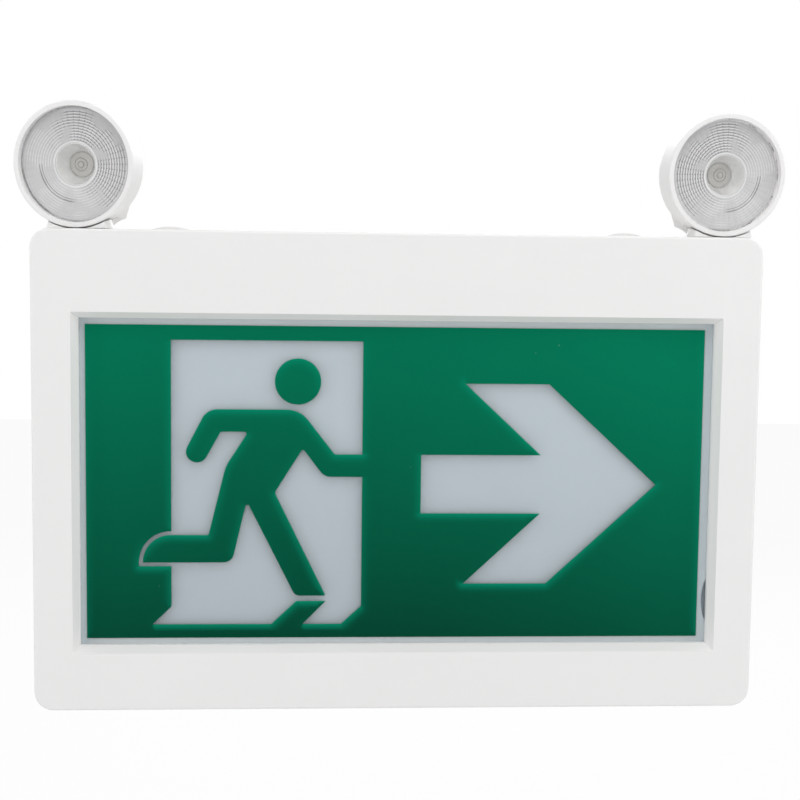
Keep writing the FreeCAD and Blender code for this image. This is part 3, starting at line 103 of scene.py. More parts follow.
class ExitLightColours(PropertyGroup):
    """Colours of the visible finishes, with the painted light and shade of the legend and the
    lenses.
    """

    shell: tint("Shell", "White moulded plastic", (0.87, 0.862, 0.855))
    # Painted light and shade: the legend's green is paler at its top and deeper at its foot.
    legend_lit_top: tint("Legend top", "Green of the printed film at its top", (0.001, 0.264, 0.136))
    legend_shaded_foot: tint("Legend foot", "Green of the printed film at its foot", (0.001, 0.08, 0.042))
    # Painted glow of the film beside its clear shapes.
    legend_painted_glow: tint("Legend glow", "Green of the film beside its clear shapes",
                      (0.002, 0.33, 0.19))
    # Painted light and shade: the opal sheet is lighter at its top and darker at its foot.
    diffuser_lit_top: tint("Diffuser top", "Opal sheet behind the legend at its top",
                       (0.53, 0.6, 0.66))
    diffuser_shaded_foot: tint("Diffuser foot", "Opal sheet behind the legend at its foot",
                        (0.36, 0.425, 0.48))
    lens: tint("Lens", "Clear plastic of the lamp lenses", (0.65, 0.64, 0.65))
    # Painted shade of the lenses' grooves, arcs and rim gap.
    lens_painted_shade: tint("Lens groove", "Shaded grooves of the lamp lenses", (0.16, 0.155, 0.16))
    # Painted highlight of the lenses' rings, bead and lower body.
    lens_painted_highlight: tint("Lens glint", "Bright edges of the lenses' cells", (0.97, 0.97, 0.97))
    reflector: tint("Reflector", "Bright coating of the lamp cups", (0.93, 0.93, 0.92))
    emitter: tint("Emitter", "Body of the light sources", (0.5, 0.485, 0.45))


# ---------------------------------------------------------------- materials

COLOUR, NUMBER, VECTOR = "NodeSocketColor", "NodeSocketFloat", "NodeSocketVector"
FINISH = (("Color", COLOUR), ("Roughness", NUMBER), ("Height", NUMBER))
BUMP_DEPTH = 0.4 * MM
SHEET_TINT, SHEET_END_TINT = (0.82, 0.88, 0.9, 1), (0.76, 0.85, 0.89, 1)
# The sheet's paler margin is painted light.
SHEET_FADE = (-0.0012, 0.0002)  # where the sheet grows paler, measured out from the film's edge

# Half widths of the painted highlight and shade lines on a lens: where each is at full
# strength, and where it ends.
RING_LINE = (0.00013, 0.00032)
SPOKE_LINE = (0.0001, 0.00027)
BEAD_LINE = (0.0002, 0.0005)
BELT_LINE = (0.0009, 0.0011)
RIM_LINE = (0.0002, 0.0004)
BEAD_INSET, RIM_INSET = 0.0004, 0.0008  # of the bead's and the rim's middle line
# The dark arcs across the cells and the rim's arc are painted shade.
BELT_RADIUS = 0.64  # share of the lens's radius at which the dark arcs lie
BELT_TURN, RIM_TURN = -2.5, -2.6  # where those arcs and the rim's arc have their middle, in radians


def new_group(name, inputs, outputs=FINISH):
    """A shader node group with named sockets; returns it with its two ends."""
    tree = bpy.data.node_groups.new(name, "ShaderNodeTree")
    for label, kind, default in inputs:
        socket = tree.interface.new_socket(label, in_out="INPUT", socket_type=kind)
        socket.default_value = default
    for label, kind in outputs:
        tree.interface.new_socket(label, in_out="OUTPUT", socket_type=kind)
    return tree, tree.nodes.new("NodeGroupInput"), tree.nodes.new("NodeGroupOutput")


def add_node(tree, kind, settings=None, **inputs):
    """A node with its settings; its inputs are set or linked by name, or by number as i0, i1."""
    node = tree.nodes.new(kind)
    for name, value in (settings or {}).items():
        setattr(node, name, value)
    for name, value in inputs.items():
        numbered = name[0] == "i" and name[1:].isdigit()
        socket = node.inputs[int(name[1:]) if numbered else name.replace("_", " ")]
        if isinstance(value, bpy.types.NodeSocket):
            tree.links.new(value, socket)
        else:
            socket.default_value = value
    return node


def calculator(tree):
    """Short makers of a tree's arithmetic: calc(operation, values) and fade(value, from, to)."""
    def calc(operation, *values):
        inputs = {f"i{number}": value for number, value in enumerate(values)}
        return add_node(tree, "ShaderNodeMath", {"operation": operation}, **inputs).outputs[0]

    def fade(value, start, stop, low=0.0, high=1.0):
        settings = {"interpolation_type": "SMOOTHSTEP"}
        return add_node(tree, "ShaderNodeMapRange", settings, i0=value, i1=start, i2=stop, i3=low,
                        i4=high).outputs[0]

    return calc, fade


def blend(tree, share, first, second):
    """A colour between two others."""
    mix = add_node(tree, "ShaderNodeMix", {"data_type": "RGBA"}, Factor=share)
    for socket, colour in zip((mix.inputs[6], mix.inputs[7]), (first, second)):
        if isinstance(colour, bpy.types.NodeSocket):
            tree.links.new(colour, socket)
        else:
            socket.default_value = colour
    return mix.outputs[2]


def noise(tree, place, scale, detail):
    return add_node(tree, "ShaderNodeTexNoise", Vector=place, Scale=scale,
                    Detail=detail).outputs["Fac"]


def scaled(tree, colour, share):
    return add_node(tree, "ShaderNodeVectorMath", {"operation": "SCALE"}, i0=colour,
                    Scale=share).outputs[0]


def object_place(tree):
    return add_node(tree, "ShaderNodeTexCoord").outputs["Object"]


def axes(tree, place):
    """The X, Y and Z parts of a place."""
    return add_node(tree, "ShaderNodeSeparateXYZ", i0=place).outputs


def moulded_group():
    """Fine mould grain: a colour that drifts a little, an uneven gloss and a height."""
    tree, start, end = new_group(
        "Mould grain",
        [("Color", COLOUR, (1, 1, 1, 1)), ("Grain Scale", NUMBER, 1800.0),
         ("Drift", NUMBER, 0.03), ("Roughness", NUMBER, 0.45)])
    calc, _ = calculator(tree)
    inputs = start.outputs
    place = object_place(tree)
    grain = noise(tree, place, inputs["Grain Scale"], 3.0)
    cloud = noise(tree, place, 22.0, 4.0)
    drift = calc("MULTIPLY_ADD", inputs["Drift"], -0.5,
                 calc("MULTIPLY_ADD", cloud, inputs["Drift"], 1.0))
    tree.links.new(scaled(tree, inputs["Color"], drift), end.inputs["Color"])
    tree.links.new(calc("MULTIPLY_ADD", grain, 0.12, inputs["Roughness"]),
                   end.inputs["Roughness"])
    tree.links.new(grain, end.inputs["Height"])
    return tree


def ink_and_light_group():
    """A sheet's colour with painted light and shade: deep at its foot and middle, paler at its top,
    right and ends, with fine specks.

    Glow leads it towards a painted glow at its edges.
    """
    tree, start, end = new_group(
        "Legend ink and painted light",
        [("Top", COLOUR, (0, 0.2, 0.1, 1)), ("Foot", COLOUR, (0, 0.08, 0.04, 1)),
         ("Speck", COLOUR, (0.2, 0.42, 0.33, 1)), ("Edge", COLOUR, (0.01, 0.5, 0.3, 1)),
         ("Glow", NUMBER, 0.0), ("Low", NUMBER, -0.08), ("High", NUMBER, 0.07),
         ("End", NUMBER, 0.146)])
    calc, fade = calculator(tree)
    inputs = start.outputs
    place = object_place(tree)
    parts = axes(tree, place)
    # Painted light and shade: deeper at the foot and middle, paler towards the top, the right and
    # the ends.
    rise = add_node(tree, "ShaderNodeMapRange", i0=parts["Z"], i1=inputs["Low"],
                    i2=inputs["High"]).outputs[0]
    cloud = noise(tree, place, 9.0, 2.0)
    ends = fade(calc("ABSOLUTE", parts["X"]), calc("MULTIPLY", inputs["End"], 0.45), inputs["End"])
    right = fade(parts["X"], -0.05, 0.14, 0.0, 0.14)
    lift = calc("MULTIPLY_ADD", ends, 0.1, right)
    climb = calc("MULTIPLY_ADD", rise, 0.86, -0.07)
    share = calc("ADD", calc("MULTIPLY_ADD", cloud, 0.14, climb), lift)
    plain = blend(tree, share, inputs["Foot"], inputs["Top"])
    # Painted glow: the colour is led towards the Edge tint where the film's edge_light is high.
    colour = blend(tree, inputs["Glow"], plain, inputs["Edge"])
    grain = noise(tree, place, 2200.0, 2.0)
    mottled = scaled(tree, colour, fade(grain, 0.3, 0.7, 0.93, 1.07))
    cells = add_node(tree, "ShaderNodeTexVoronoi", Vector=place, Scale=70.0)
    speck = fade(cells.outputs["Distance"], 0.012, 0.03, 0.5, 0.0)
    tree.links.new(blend(tree, speck, mottled, inputs["Speck"]), end.inputs["Color"])
    tree.links.new(fade(grain, 0.2, 0.8, 0.5, 0.62), end.inputs["Roughness"])
    tree.links.new(grain, end.inputs["Height"])
    return tree


def sheet_group():
    """Clear plastic that is paler outside the printed film, where light gathers at its edges."""
    tree, start, end = new_group(
        "Sheet edge",
        [("Width", NUMBER, 0.293), ("Low", NUMBER, -0.08), ("High", NUMBER, 0.07)],
        [("Color", COLOUR), ("Alpha", NUMBER), ("Roughness", NUMBER)])
    calc, fade = calculator(tree)
    inputs = start.outputs
    place = object_place(tree)
    parts = axes(tree, place)
    sideways = calc("SUBTRACT", calc("ABSOLUTE", parts["X"]),
                    calc("MULTIPLY", inputs["Width"], 0.5))
    below = calc("SUBTRACT", inputs["Low"], parts["Z"])
    above = calc("SUBTRACT", parts["Z"], inputs["High"])
    # Painted light: the sheet grows paler and more opaque outside the film, where light gathers at
    # its edges.
    ends = fade(sideways, *SHEET_FADE)
    rims = fade(calc("MAXIMUM", below, above), *SHEET_FADE)
    tree.links.new(blend(tree, ends, SHEET_TINT, SHEET_END_TINT), end.inputs["Color"])
    tree.links.new(fade(calc("MAXIMUM", ends, rims), 0.0, 1.0, 0.2, 0.62), end.inputs["Alpha"])
    scuffs = noise(tree, place, 240.0, 4.0)
    tree.links.new(fade(scuffs, 0.3, 0.8, 0.12, 0.24), end.inputs["Roughness"])
    return tree


def lens_group():
    """Rings and spokes of a lens's cells, on a map whose middle is the lens's middle.

    Each ring is a painted highlight with a painted shade partner inside it. The partners and the
    spokes are painted darkest on the side turned to the sign, and all of them fade out in patches.
    """
    tree, start, end = new_group(
        "Lens cells",
        [("Body", COLOUR, (0.6, 0.6, 0.6, 1)), ("Groove", COLOUR, (0.2, 0.2, 0.2, 1)),
         ("Glint", COLOUR, (0.9, 0.9, 0.9, 1)), ("Radius", NUMBER, 0.026),
         ("Inner", NUMBER, 0.0106), ("Outer", NUMBER, 0.0245), ("Rings", NUMBER, 11.0),
         ("Sectors", NUMBER, 48.0), ("Side", NUMBER, 1.0)],
        [("Color", COLOUR), ("Alpha", NUMBER)])
    calc, fade = calculator(tree)
    inputs = start.outputs

    def line(away, width):
        """A line's strength at a distance from its middle."""
        return fade(calc("ABSOLUTE", away), *width, 1.0, 0.0)

    def nearest_edge(share):
        """How far a place is from the nearer end of its step, in steps."""
        return calc("MINIMUM", share, calc("SUBTRACT", 1.0, share))

    plan = add_node(tree, "ShaderNodeTexCoord").outputs["UV"]
    centred = add_node(tree, "ShaderNodeVectorMath", {"operation": "MULTIPLY_ADD"}, i0=plan,
                       i1=(2, 2, 0), i2=(-1, -1, 0)).outputs[0]
    parts = axes(tree, centred)
    across, rise = calc("MULTIPLY", parts["X"], inputs["Side"]), parts["Y"]
    flat = add_node(tree, "ShaderNodeCombineXYZ", i0=across, i1=rise).outputs[0]
    reach = add_node(tree, "ShaderNodeVectorMath", {"operation": "LENGTH"}, i0=flat)
    radius = calc("MULTIPLY", reach.outputs["Value"], inputs["Radius"])
    turn = calc("ARCTAN2", rise, across)

    pitch = calc("DIVIDE", calc("SUBTRACT", inputs["Outer"], inputs["Inner"]), inputs["Rings"])
    step = calc("FRACT", calc("DIVIDE", calc("SUBTRACT", radius, inputs["Inner"]), pitch))
    sector = calc("DIVIDE", 2 * math.pi, inputs["Sectors"])
    part = calc("FRACT", calc("DIVIDE", turn, sector))
    spoke_gap = calc("MULTIPLY", calc("MULTIPLY", nearest_edge(part), sector), radius)
    ring = line(calc("MULTIPLY", nearest_edge(step), pitch), RING_LINE)
    partner = fade(step, 0.38, 0.56, 1.0, 0.0)
    spoke = line(spoke_gap, SPOKE_LINE)
    band = calc("MULTIPLY",
                fade(radius, calc("SUBTRACT", inputs["Inner"], 0.0002), inputs["Inner"]),
                fade(radius, inputs["Outer"], calc("ADD", inputs["Outer"], 0.0002), 1.0, 0.0))

    patches = noise(tree, flat, 1.9, 1.5)
    clouds = noise(tree, flat, 5.5, 2.0)
    inboard = calc("MULTIPLY_ADD", rise, 0.45, calc("MULTIPLY", across, 0.75))
    dark = fade(calc("MULTIPLY_ADD", clouds, 0.9, inboard), 0.15, 0.85)
    bright = fade(calc("MULTIPLY_ADD", clouds, 0.8, calc("MULTIPLY", inboard, 0.3)),
                  0.1, 0.7, 0.55, 1.0)
    shown = calc("MULTIPLY", fade(patches, 0.4, 0.5), band)

    # Painted light: the lens body is lighter towards the bottom.
    body = blend(tree, fade(rise, -0.8, 0.8, 0.26, 0.0), inputs["Body"], inputs["Glint"])
    # Painted shade on the spokes and ring partners, darkest on the side turned to the sign.
    edges = calc("MAXIMUM", calc("MULTIPLY", spoke, 0.9), calc("MULTIPLY", partner, 0.85))
    # Painted shade: dark arcs across the cells on the lower outer side.
    belt = line(calc("MULTIPLY_ADD", inputs["Radius"], -BELT_RADIUS, radius), BELT_LINE)
    corner = line(calc("SUBTRACT", turn, BELT_TURN), (0.75, 0.95))
    arcs = calc("MULTIPLY", calc("MULTIPLY", belt, corner), calc("MULTIPLY", partner, 0.75))
    dim = calc("MAXIMUM", calc("MULTIPLY", calc("MULTIPLY", edges, dark), shown), arcs)
    grooved = blend(tree, dim, body, inputs["Groove"])
    # Painted highlight along the rings.
    gleam = calc("MULTIPLY", calc("MULTIPLY", ring, bright), shown)
    lit = blend(tree, gleam, grooved, inputs["Glint"])

    # Painted highlight on the bead round the middle.
    bead_line = calc("SUBTRACT", inputs["Inner"], BEAD_INSET)
    bead = line(calc("SUBTRACT", radius, bead_line), BEAD_LINE)
    ringed = blend(tree, calc("MULTIPLY", bead, 0.8), lit, inputs["Glint"])
    # Painted shadow in the gap at the lens's rim.
    rim_line = calc("SUBTRACT", inputs["Radius"], RIM_INSET)
    rim = calc("MULTIPLY", line(calc("SUBTRACT", turn, RIM_TURN), (0.42, 0.5)),
               line(calc("SUBTRACT", radius, rim_line), RIM_LINE))
    tree.links.new(blend(tree, calc("MULTIPLY", rim, 0.85), ringed, inputs["Groove"]),
                   end.inputs["Color"])
    open_middle = fade(radius, calc("SUBTRACT", inputs["Inner"], 0.0009),
                       calc("SUBTRACT", inputs["Inner"], 0.0005), 0.1, 0.8)
    tree.links.new(calc("MAXIMUM", open_middle, calc("MULTIPLY", bead, 0.85)),
                   end.inputs["Alpha"])
    return tree


def metal_group():
    """Drawn or stamped metal: fine streaks along one way, with dull and bright clouds."""
    tree, start, end = new_group(
        "Metal grain",
        [("Color", COLOUR, (0.6, 0.6, 0.6, 1)), ("Streaks", VECTOR, (400.0, 400.0, 4000.0)),
         ("Roughness", NUMBER, 0.3)])
    calc, fade = calculator(tree)
    inputs = start.outputs
    place = object_place(tree)
    drawn = add_node(tree, "ShaderNodeVectorMath", {"operation": "MULTIPLY"}, i0=place,
                     i1=inputs["Streaks"]).outputs[0]
    streak = noise(tree, drawn, 1.0, 3.0)
    cloud = noise(tree, place, 160.0, 3.0)
    shade = calc("ADD", fade(cloud, 0.2, 0.8, 0.86, 1.04), fade(streak, 0.2, 0.8, -0.05, 0.05))
    tree.links.new(scaled(tree, inputs["Color"], shade), end.inputs["Color"])
    tree.links.new(calc("ADD", inputs["Roughness"], fade(cloud, 0.2, 0.8, -0.05, 0.12)),
                   end.inputs["Roughness"])
    tree.links.new(streak, end.inputs["Height"])
    return tree


def track_group():
    """Copper tracks under a board's lacquer, running square to each other."""
    tree, start, end = new_group(
        "Board tracks",
        [("Lacquer", COLOUR, (0.01, 0.1, 0.03, 1)), ("Track", COLOUR, (0.03, 0.2, 0.06, 1)),
         ("Scale", NUMBER, 190.0)])
    calc, fade = calculator(tree)
    inputs = start.outputs
    place = object_place(tree)
    parts = axes(tree, place)
    flat = add_node(tree, "ShaderNodeCombineXYZ", i0=parts["X"], i1=parts["Z"]).outputs[0]
    runs = add_node(tree, "ShaderNodeTexVoronoi", {"distance": "CHEBYCHEV", "feature": "F1"},
                    Vector=flat, Scale=inputs["Scale"])
    bands = calc("PINGPONG", calc("MULTIPLY", runs.outputs["Distance"], 3.0), 0.5)
    track = fade(bands, 0.2, 0.26)
    tree.links.new(blend(tree, track, inputs["Lacquer"], inputs["Track"]), end.inputs["Color"])
    cloud = noise(tree, place, 60.0, 3.0)
    tree.links.new(fade(cloud, 0.2, 0.8, 0.22, 0.4), end.inputs["Roughness"])
    tree.links.new(track, end.inputs["Height"])
    return tree


GROUPS = {"Mould grain": moulded_group, "Legend ink and painted light": ink_and_light_group, "Sheet edge": sheet_group,
          "Lens cells": lens_group, "Metal grain": metal_group, "Board tracks": track_group}


def placed_group(tree, name, **values):
    """A group in a material's tree, with its inputs set; it is made when first asked for."""
    group = bpy.data.node_groups.get(name) or GROUPS[name]()
    return add_node(tree, "ShaderNodeGroup", {"node_tree": group}, **values)


def feed(tree, shader, group, bump=0.0):
    """Leads a group's colour, gloss, alpha and height to a shader."""
    for socket in group.outputs:
        if socket.name in ("Color", "Roughness", "Alpha"):
            target = "Base Color" if socket.name == "Color" else socket.name
            tree.links.new(socket, shader.inputs[target])
    if bump:
        lift = add_node(tree, "ShaderNodeBump", Height=group.outputs["Height"], Strength=bump,
                        Distance=BUMP_DEPTH)
        tree.links.new(lift.outputs["Normal"], shader.inputs["Normal"])


def shader_material(name, **sockets):
    """A material whose shader has the given plain sockets; returns it with its tree and shader."""
    material = bpy.data.materials.new(name)
    material.use_nodes = True
    shader = material.node_tree.nodes["Principled BSDF"]
    for socket, value in sockets.items():
        shader.inputs[socket.replace("_", " ")].default_value = value
    return material, material.node_tree, shader


def rgba(colour):
    return (*colour[:3], 1.0)


def moulded(name, colour, roughness=0.42, grain=1800.0, drift=0.03, bump=0.05, **sockets):
    """Moulded plastic, or another plain finish with a fine grain."""
    material, tree, shader = shader_material(name, **sockets)
    group = placed_group(tree, "Mould grain", Color=rgba(colour), Grain_Scale=grain, Drift=drift,
                         Roughness=roughness - 0.06)
    feed(tree, shader, group, bump)
    return material


def metal(name, colour, roughness=0.3, streaks=(400.0, 400.0, 4000.0), bump=0.06):
    """Bare or plated metal."""
    material, tree, shader = shader_material(name, Metallic=1.0)
    group = placed_group(tree, "Metal grain", Color=rgba(colour), Roughness=roughness,
                         Streaks=streaks)
    feed(tree, shader, group, bump)
    return material


def zinc_plate(name):
    return metal(name, (0.62, 0.63, 0.64), roughness=0.26)


def board(name, lacquer, track, scale=190.0):
    """A printed circuit board."""
    material, tree, shader = shader_material(name)
    group = placed_group(tree, "Board tracks", Lacquer=rgba(lacquer), Track=rgba(track),
                         Scale=scale)
    feed(tree, shader, group, 0.2)
    return material


def dress(material, *nodes):
    """Gives CAD nodes a finish."""
    for name in nodes:
        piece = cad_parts[name]
        if not piece.material_slots:
            piece.data.materials.append(material)
        for place in piece.material_slots:
            place.material = material


# ---------------------------------------------------------------- modelling

def start_clean():
    if bpy.context.object and bpy.context.object.mode != "OBJECT":
        bpy.ops.object.mode_set(mode="OBJECT")
    bpy.ops.object.select_all(action="DESELECT")


def edit(piece):
    start_clean()
    bpy.context.view_layer.objects.active = piece
    piece.select_set(True)
    bpy.ops.object.mode_set(mode="EDIT")


def pick(piece, chosen):
    """Selects just those faces for which chosen(face) holds, in edit mode."""
    bpy.ops.object.mode_set(mode="EDIT")
    bpy.ops.mesh.select_mode(type="FACE")
    bpy.ops.mesh.select_all(action="DESELECT")
    bpy.ops.object.mode_set(mode="OBJECT")
    for face in piece.data.polygons:
        face.select = chosen(face)
    bpy.ops.object.mode_set(mode="EDIT")


def copy_node(node):
    """A copy of a CAD node with its triangles merged, in edit mode."""
    start_clean()
    piece = bpy.data.objects.new(node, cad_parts[node].data.copy())
    piece.data.materials.clear()
    bpy.context.collection.objects.link(piece)
    edit(piece)
    bpy.ops.mesh.select_all(action="SELECT")
    bpy.ops.mesh.remove_doubles(threshold=MERGED)
    bpy.ops.mesh.dissolve_limited(angle_limit=math.radians(1))
    return piece


def outward(piece):
    """Turns every face outwards and leaves edit mode."""
    bpy.ops.object.mode_set(mode="EDIT")
    bpy.ops.mesh.select_all(action="SELECT")
    bpy.ops.mesh.normals_make_consistent(inside=False)
    bpy.ops.object.mode_set(mode="OBJECT")
    return piece


def lathe(profile, segments, capped=True):
    """A turned piece about the Y axis: a ring drawn out through steps of (radius, depth).

    A piece that isn't capped comes back to its first ring, so its wall is closed.
    """
    start_clean()
    radius, depth = profile[0]
    bpy.ops.mesh.primitive_circle_add(vertices=segments, radius=radius, location=(0, depth, 0),
                                      rotation=(math.radians(90), 0, 0),
                                      fill_type="NGON" if capped else "NOTHING")
    piece = bpy.context.object
    bpy.ops.object.transform_apply(location=True, rotation=True, scale=True)
    edit(piece)
    bpy.ops.mesh.select_all(action="SELECT")
    for (radius, depth), (wider, deeper) in zip(profile, profile[1:]):
        step = {"value": (0, deeper - depth, 0)}
        if capped:
            bpy.ops.mesh.extrude_region_move(TRANSFORM_OT_translate=step)
        else:
            bpy.ops.mesh.extrude_edges_move(TRANSFORM_OT_translate=step)
        scale = wider / radius
        bpy.ops.transform.resize(value=(scale, 1, scale), center_override=(0, deeper, 0))
    if not capped:
        bpy.ops.mesh.select_all(action="SELECT")
        bpy.ops.mesh.remove_doubles(threshold=MERGED)
    return outward(piece)


def settle(piece, place):
    """Puts a piece built about the origin in its place, and keeps the place in its mesh."""
    start_clean()
    piece.matrix_world = place
    piece.select_set(True)
    bpy.context.view_layer.objects.active = piece
    bpy.ops.object.transform_apply(location=True, rotation=True, scale=True)


def finish_piece(piece, name, materials, body, slot, *stands_for):
    """Names a piece, gives it its finishes, ties it to its body and hides the nodes it stands for.
    """
    piece.name = name
    piece.data.name = name
    for material in materials:
        piece.data.materials.append(material)
    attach(piece, body)
    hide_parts(*stands_for)


def smooth(piece, angle):
    start_clean()
    bpy.context.view_layer.objects.active = piece
    piece.select_set(True)
    bpy.ops.object.shade_smooth_by_angle(angle=math.radians(angle))


def disc_frame(node):
    """Where a lamp's lens lies: its middle at the front, X across, Y into the drum, Z up."""
    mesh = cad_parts[node].data
    forward = (face for face in mesh.polygons if face.normal.y < -0.5)
    widest = max(forward, key=lambda face: face.area)
    into = -widest.normal.normalized()
    level = widest.center.dot(into)
    rim = [v.co for v in mesh.vertices if abs(v.co.dot(into) - level) < TOUCHING]
    centre = sum(rim, Vector()) / len(rim)
    across = into.cross(Vector((0, 0, 1))).normalized()
    up = across.cross(into)
    radius = max((point - centre).length for point in rim)
    place = Matrix((across, into, up)).transposed().to_4x4()
    place.translation = centre
    depth = max(v.co.dot(into) for v in mesh.vertices) - level
    return place, radius, depth


def sizes():
    return bpy.context.scene.exit_light_sizes


def colours():
    return bpy.context.scene.exit_light_colours


# ---------------------------------------------------------------- stage

SKY_STRENGTH = 0.45
FLOOR_SIZE, FLOOR_PLACE = 6, (0, 0.6, -0.34)
FLOOR_GLOW = 0.92  # how much of the floor that the camera sees is plain white
LIGHTS = (  # name, place in metres, power in watts
    ("key light", (0.1, -0.55, 0.95), 4.8),
    ("left light", (-1.0, -0.55, 0.1), 2.9),
    ("right light", (1.0, -0.55, 0.1), 2.9),
    ("back light", (0.2, 1.2, 0.6), 6.5),
)
LIGHT_WIDTH, LIGHT_AIM = 0.8, (0, -0.02, 0.03)
CAMERA_PLACE = (-0.0377158, -0.6716124, 0.0870124)
CAMERA_TURN = (85.2352, -0.6741, -3.3858)  # degrees
CAMERA_LENS, SENSOR_WIDTH = 59.968, 36.0  # millimetres


class EXITLIGHT_OT_stage(Operator):
    """Sets the floor, the soft studio lights, the pale surroundings and the camera"""

    bl_idname = "exitlight.stage"
    bl_label = "Stage"

    def execute(self, context):
        scene = context.scene
        scene.view_settings.view_transform = "Standard"
        world = bpy.data.worlds.new("studio")
        scene.world = world
        world.use_nodes = True
        tree = world.node_tree
        tree.nodes.clear()
        soft = add_node(tree, "ShaderNodeBackground", Color=(0.985, 0.99, 1, 1),
                        Strength=SKY_STRENGTH)
        white = add_node(tree, "ShaderNodeBackground", Color=(1, 1, 1, 1), Strength=1.0)
        both = add_node(tree, "ShaderNodeMixShader", i0=self.seen(tree), i1=soft.outputs[0],
                        i2=white.outputs[0])
        add_node(tree, "ShaderNodeOutputWorld", Surface=both.outputs[0])
        self.floor(context)
        for name, place, power in LIGHTS:
            self.lamp(name, place, power)
        self.camera(context)
        return {"FINISHED"}

    def seen(self, tree):
        """Whether a ray comes from the camera, or from there by way of a mirror or glass."""
        kinds = add_node(tree, "ShaderNodeLightPath").outputs
        calc, _ = calculator(tree)
        bounced = calc("MAXIMUM", kinds["Is Glossy Ray"], kinds["Is Transmission Ray"])
        return calc("MAXIMUM", kinds["Is Camera Ray"], bounced)

    def floor(self, context):
        start_clean()
        bpy.ops.mesh.primitive_plane_add(size=FLOOR_SIZE, location=FLOOR_PLACE)
        floor = context.object
        floor.name = "studio_floor"
        settle(floor, floor.matrix_world.copy())
        paint, tree, shader = shader_material("pale floor", Base_Color=(0.9, 0.9, 0.9, 1),
                                              Roughness=0.8)
        glow = add_node(tree, "ShaderNodeEmission", Color=(1, 1, 1, 1), Strength=1.0)
        calc, _ = calculator(tree)
        both = add_node(tree, "ShaderNodeMixShader",
                        i0=calc("MULTIPLY", self.seen(tree), FLOOR_GLOW),
                        i1=shader.outputs[0], i2=glow.outputs[0])
        tree.links.new(both.outputs[0], tree.nodes["Material Output"].inputs["Surface"])
        floor.data.materials.append(paint)

    def lamp(self, name, place, power):
        start_clean()
        bpy.ops.object.light_add(type="AREA", location=place)
        light = bpy.context.object
        light.name = name
        light.data.shape = "DISK"
        light.data.size = LIGHT_WIDTH
        light.data.energy = power
        way = Vector(LIGHT_AIM) - Vector(place)
        light.rotation_euler = way.to_track_quat("-Z", "Y").to_euler()

    def camera(self, context):
        bpy.ops.object.camera_add(location=CAMERA_PLACE)
        camera = context.object
        camera.rotation_euler = [math.radians(turn) for turn in CAMERA_TURN]
        camera.data.sensor_width = SENSOR_WIDTH
        camera.data.lens = CAMERA_LENS
        camera.data.clip_start = 0.01
        context.scene.camera = camera


# ---------------------------------------------------------------- pieces

# How much painted light the film gets beside a clear shape, how much more it gets below one
# than that, how much more on the left of one, and the power by which that light falls with
# distance.
GLOW_BESIDE, GLOW_BELOW, GLOW_LEFT, GLOW_FALL = 0.42, 0.58, 0.08, 1.6

OUTER_BAND = 0.6  # share of the lens's margin, on its front, that holds the tabs
TAB_SPACING = 6  # sectors from one tab to the next
TAB_SLOPE = 0.15 * MM
FIRST_RISE = 0.7  # share of a rise that its first step takes; the second takes the rest

CUP_GAP, CUP_STEPS, CUP_CURVE = 0.3 * MM, 10, 0.6
CUP_SEGMENTS, EMITTER_SEGMENTS = 64, 48
EMITTER_LIFT = 0.02 * MM
EMITTER_STEPS = (  # share of the radius, millimetres above the board
    (1.0, 0.0), (1.0, 0.9), (0.96, 1.1), (0.88, 1.2), (0.58, 1.3), (0.56, 0.9), (0.5, 0.9),
    (0.48, 1.5), (0.42, 1.7), (0.3, 1.75), (0.28, 1.3), (0.24, 1.3), (0.2, 1.9), (0.1, 2.0))


class EXITLIGHT_OT_case(Operator):
    """Gives the case, the wall plate, the necks and the drums their moulded white finish"""

    bl_idname = "exitlight.case"
    bl_label = "Case and drums"

    def execute(self, context):
        shell = moulded("white moulded shell", colours().shell)
        dress(shell, "housing", "back_plate")
        for side in SIDES:
            dress(shell, f"{side}_neck", f"{side}_lamp_shell")
        return {"FINISHED"}


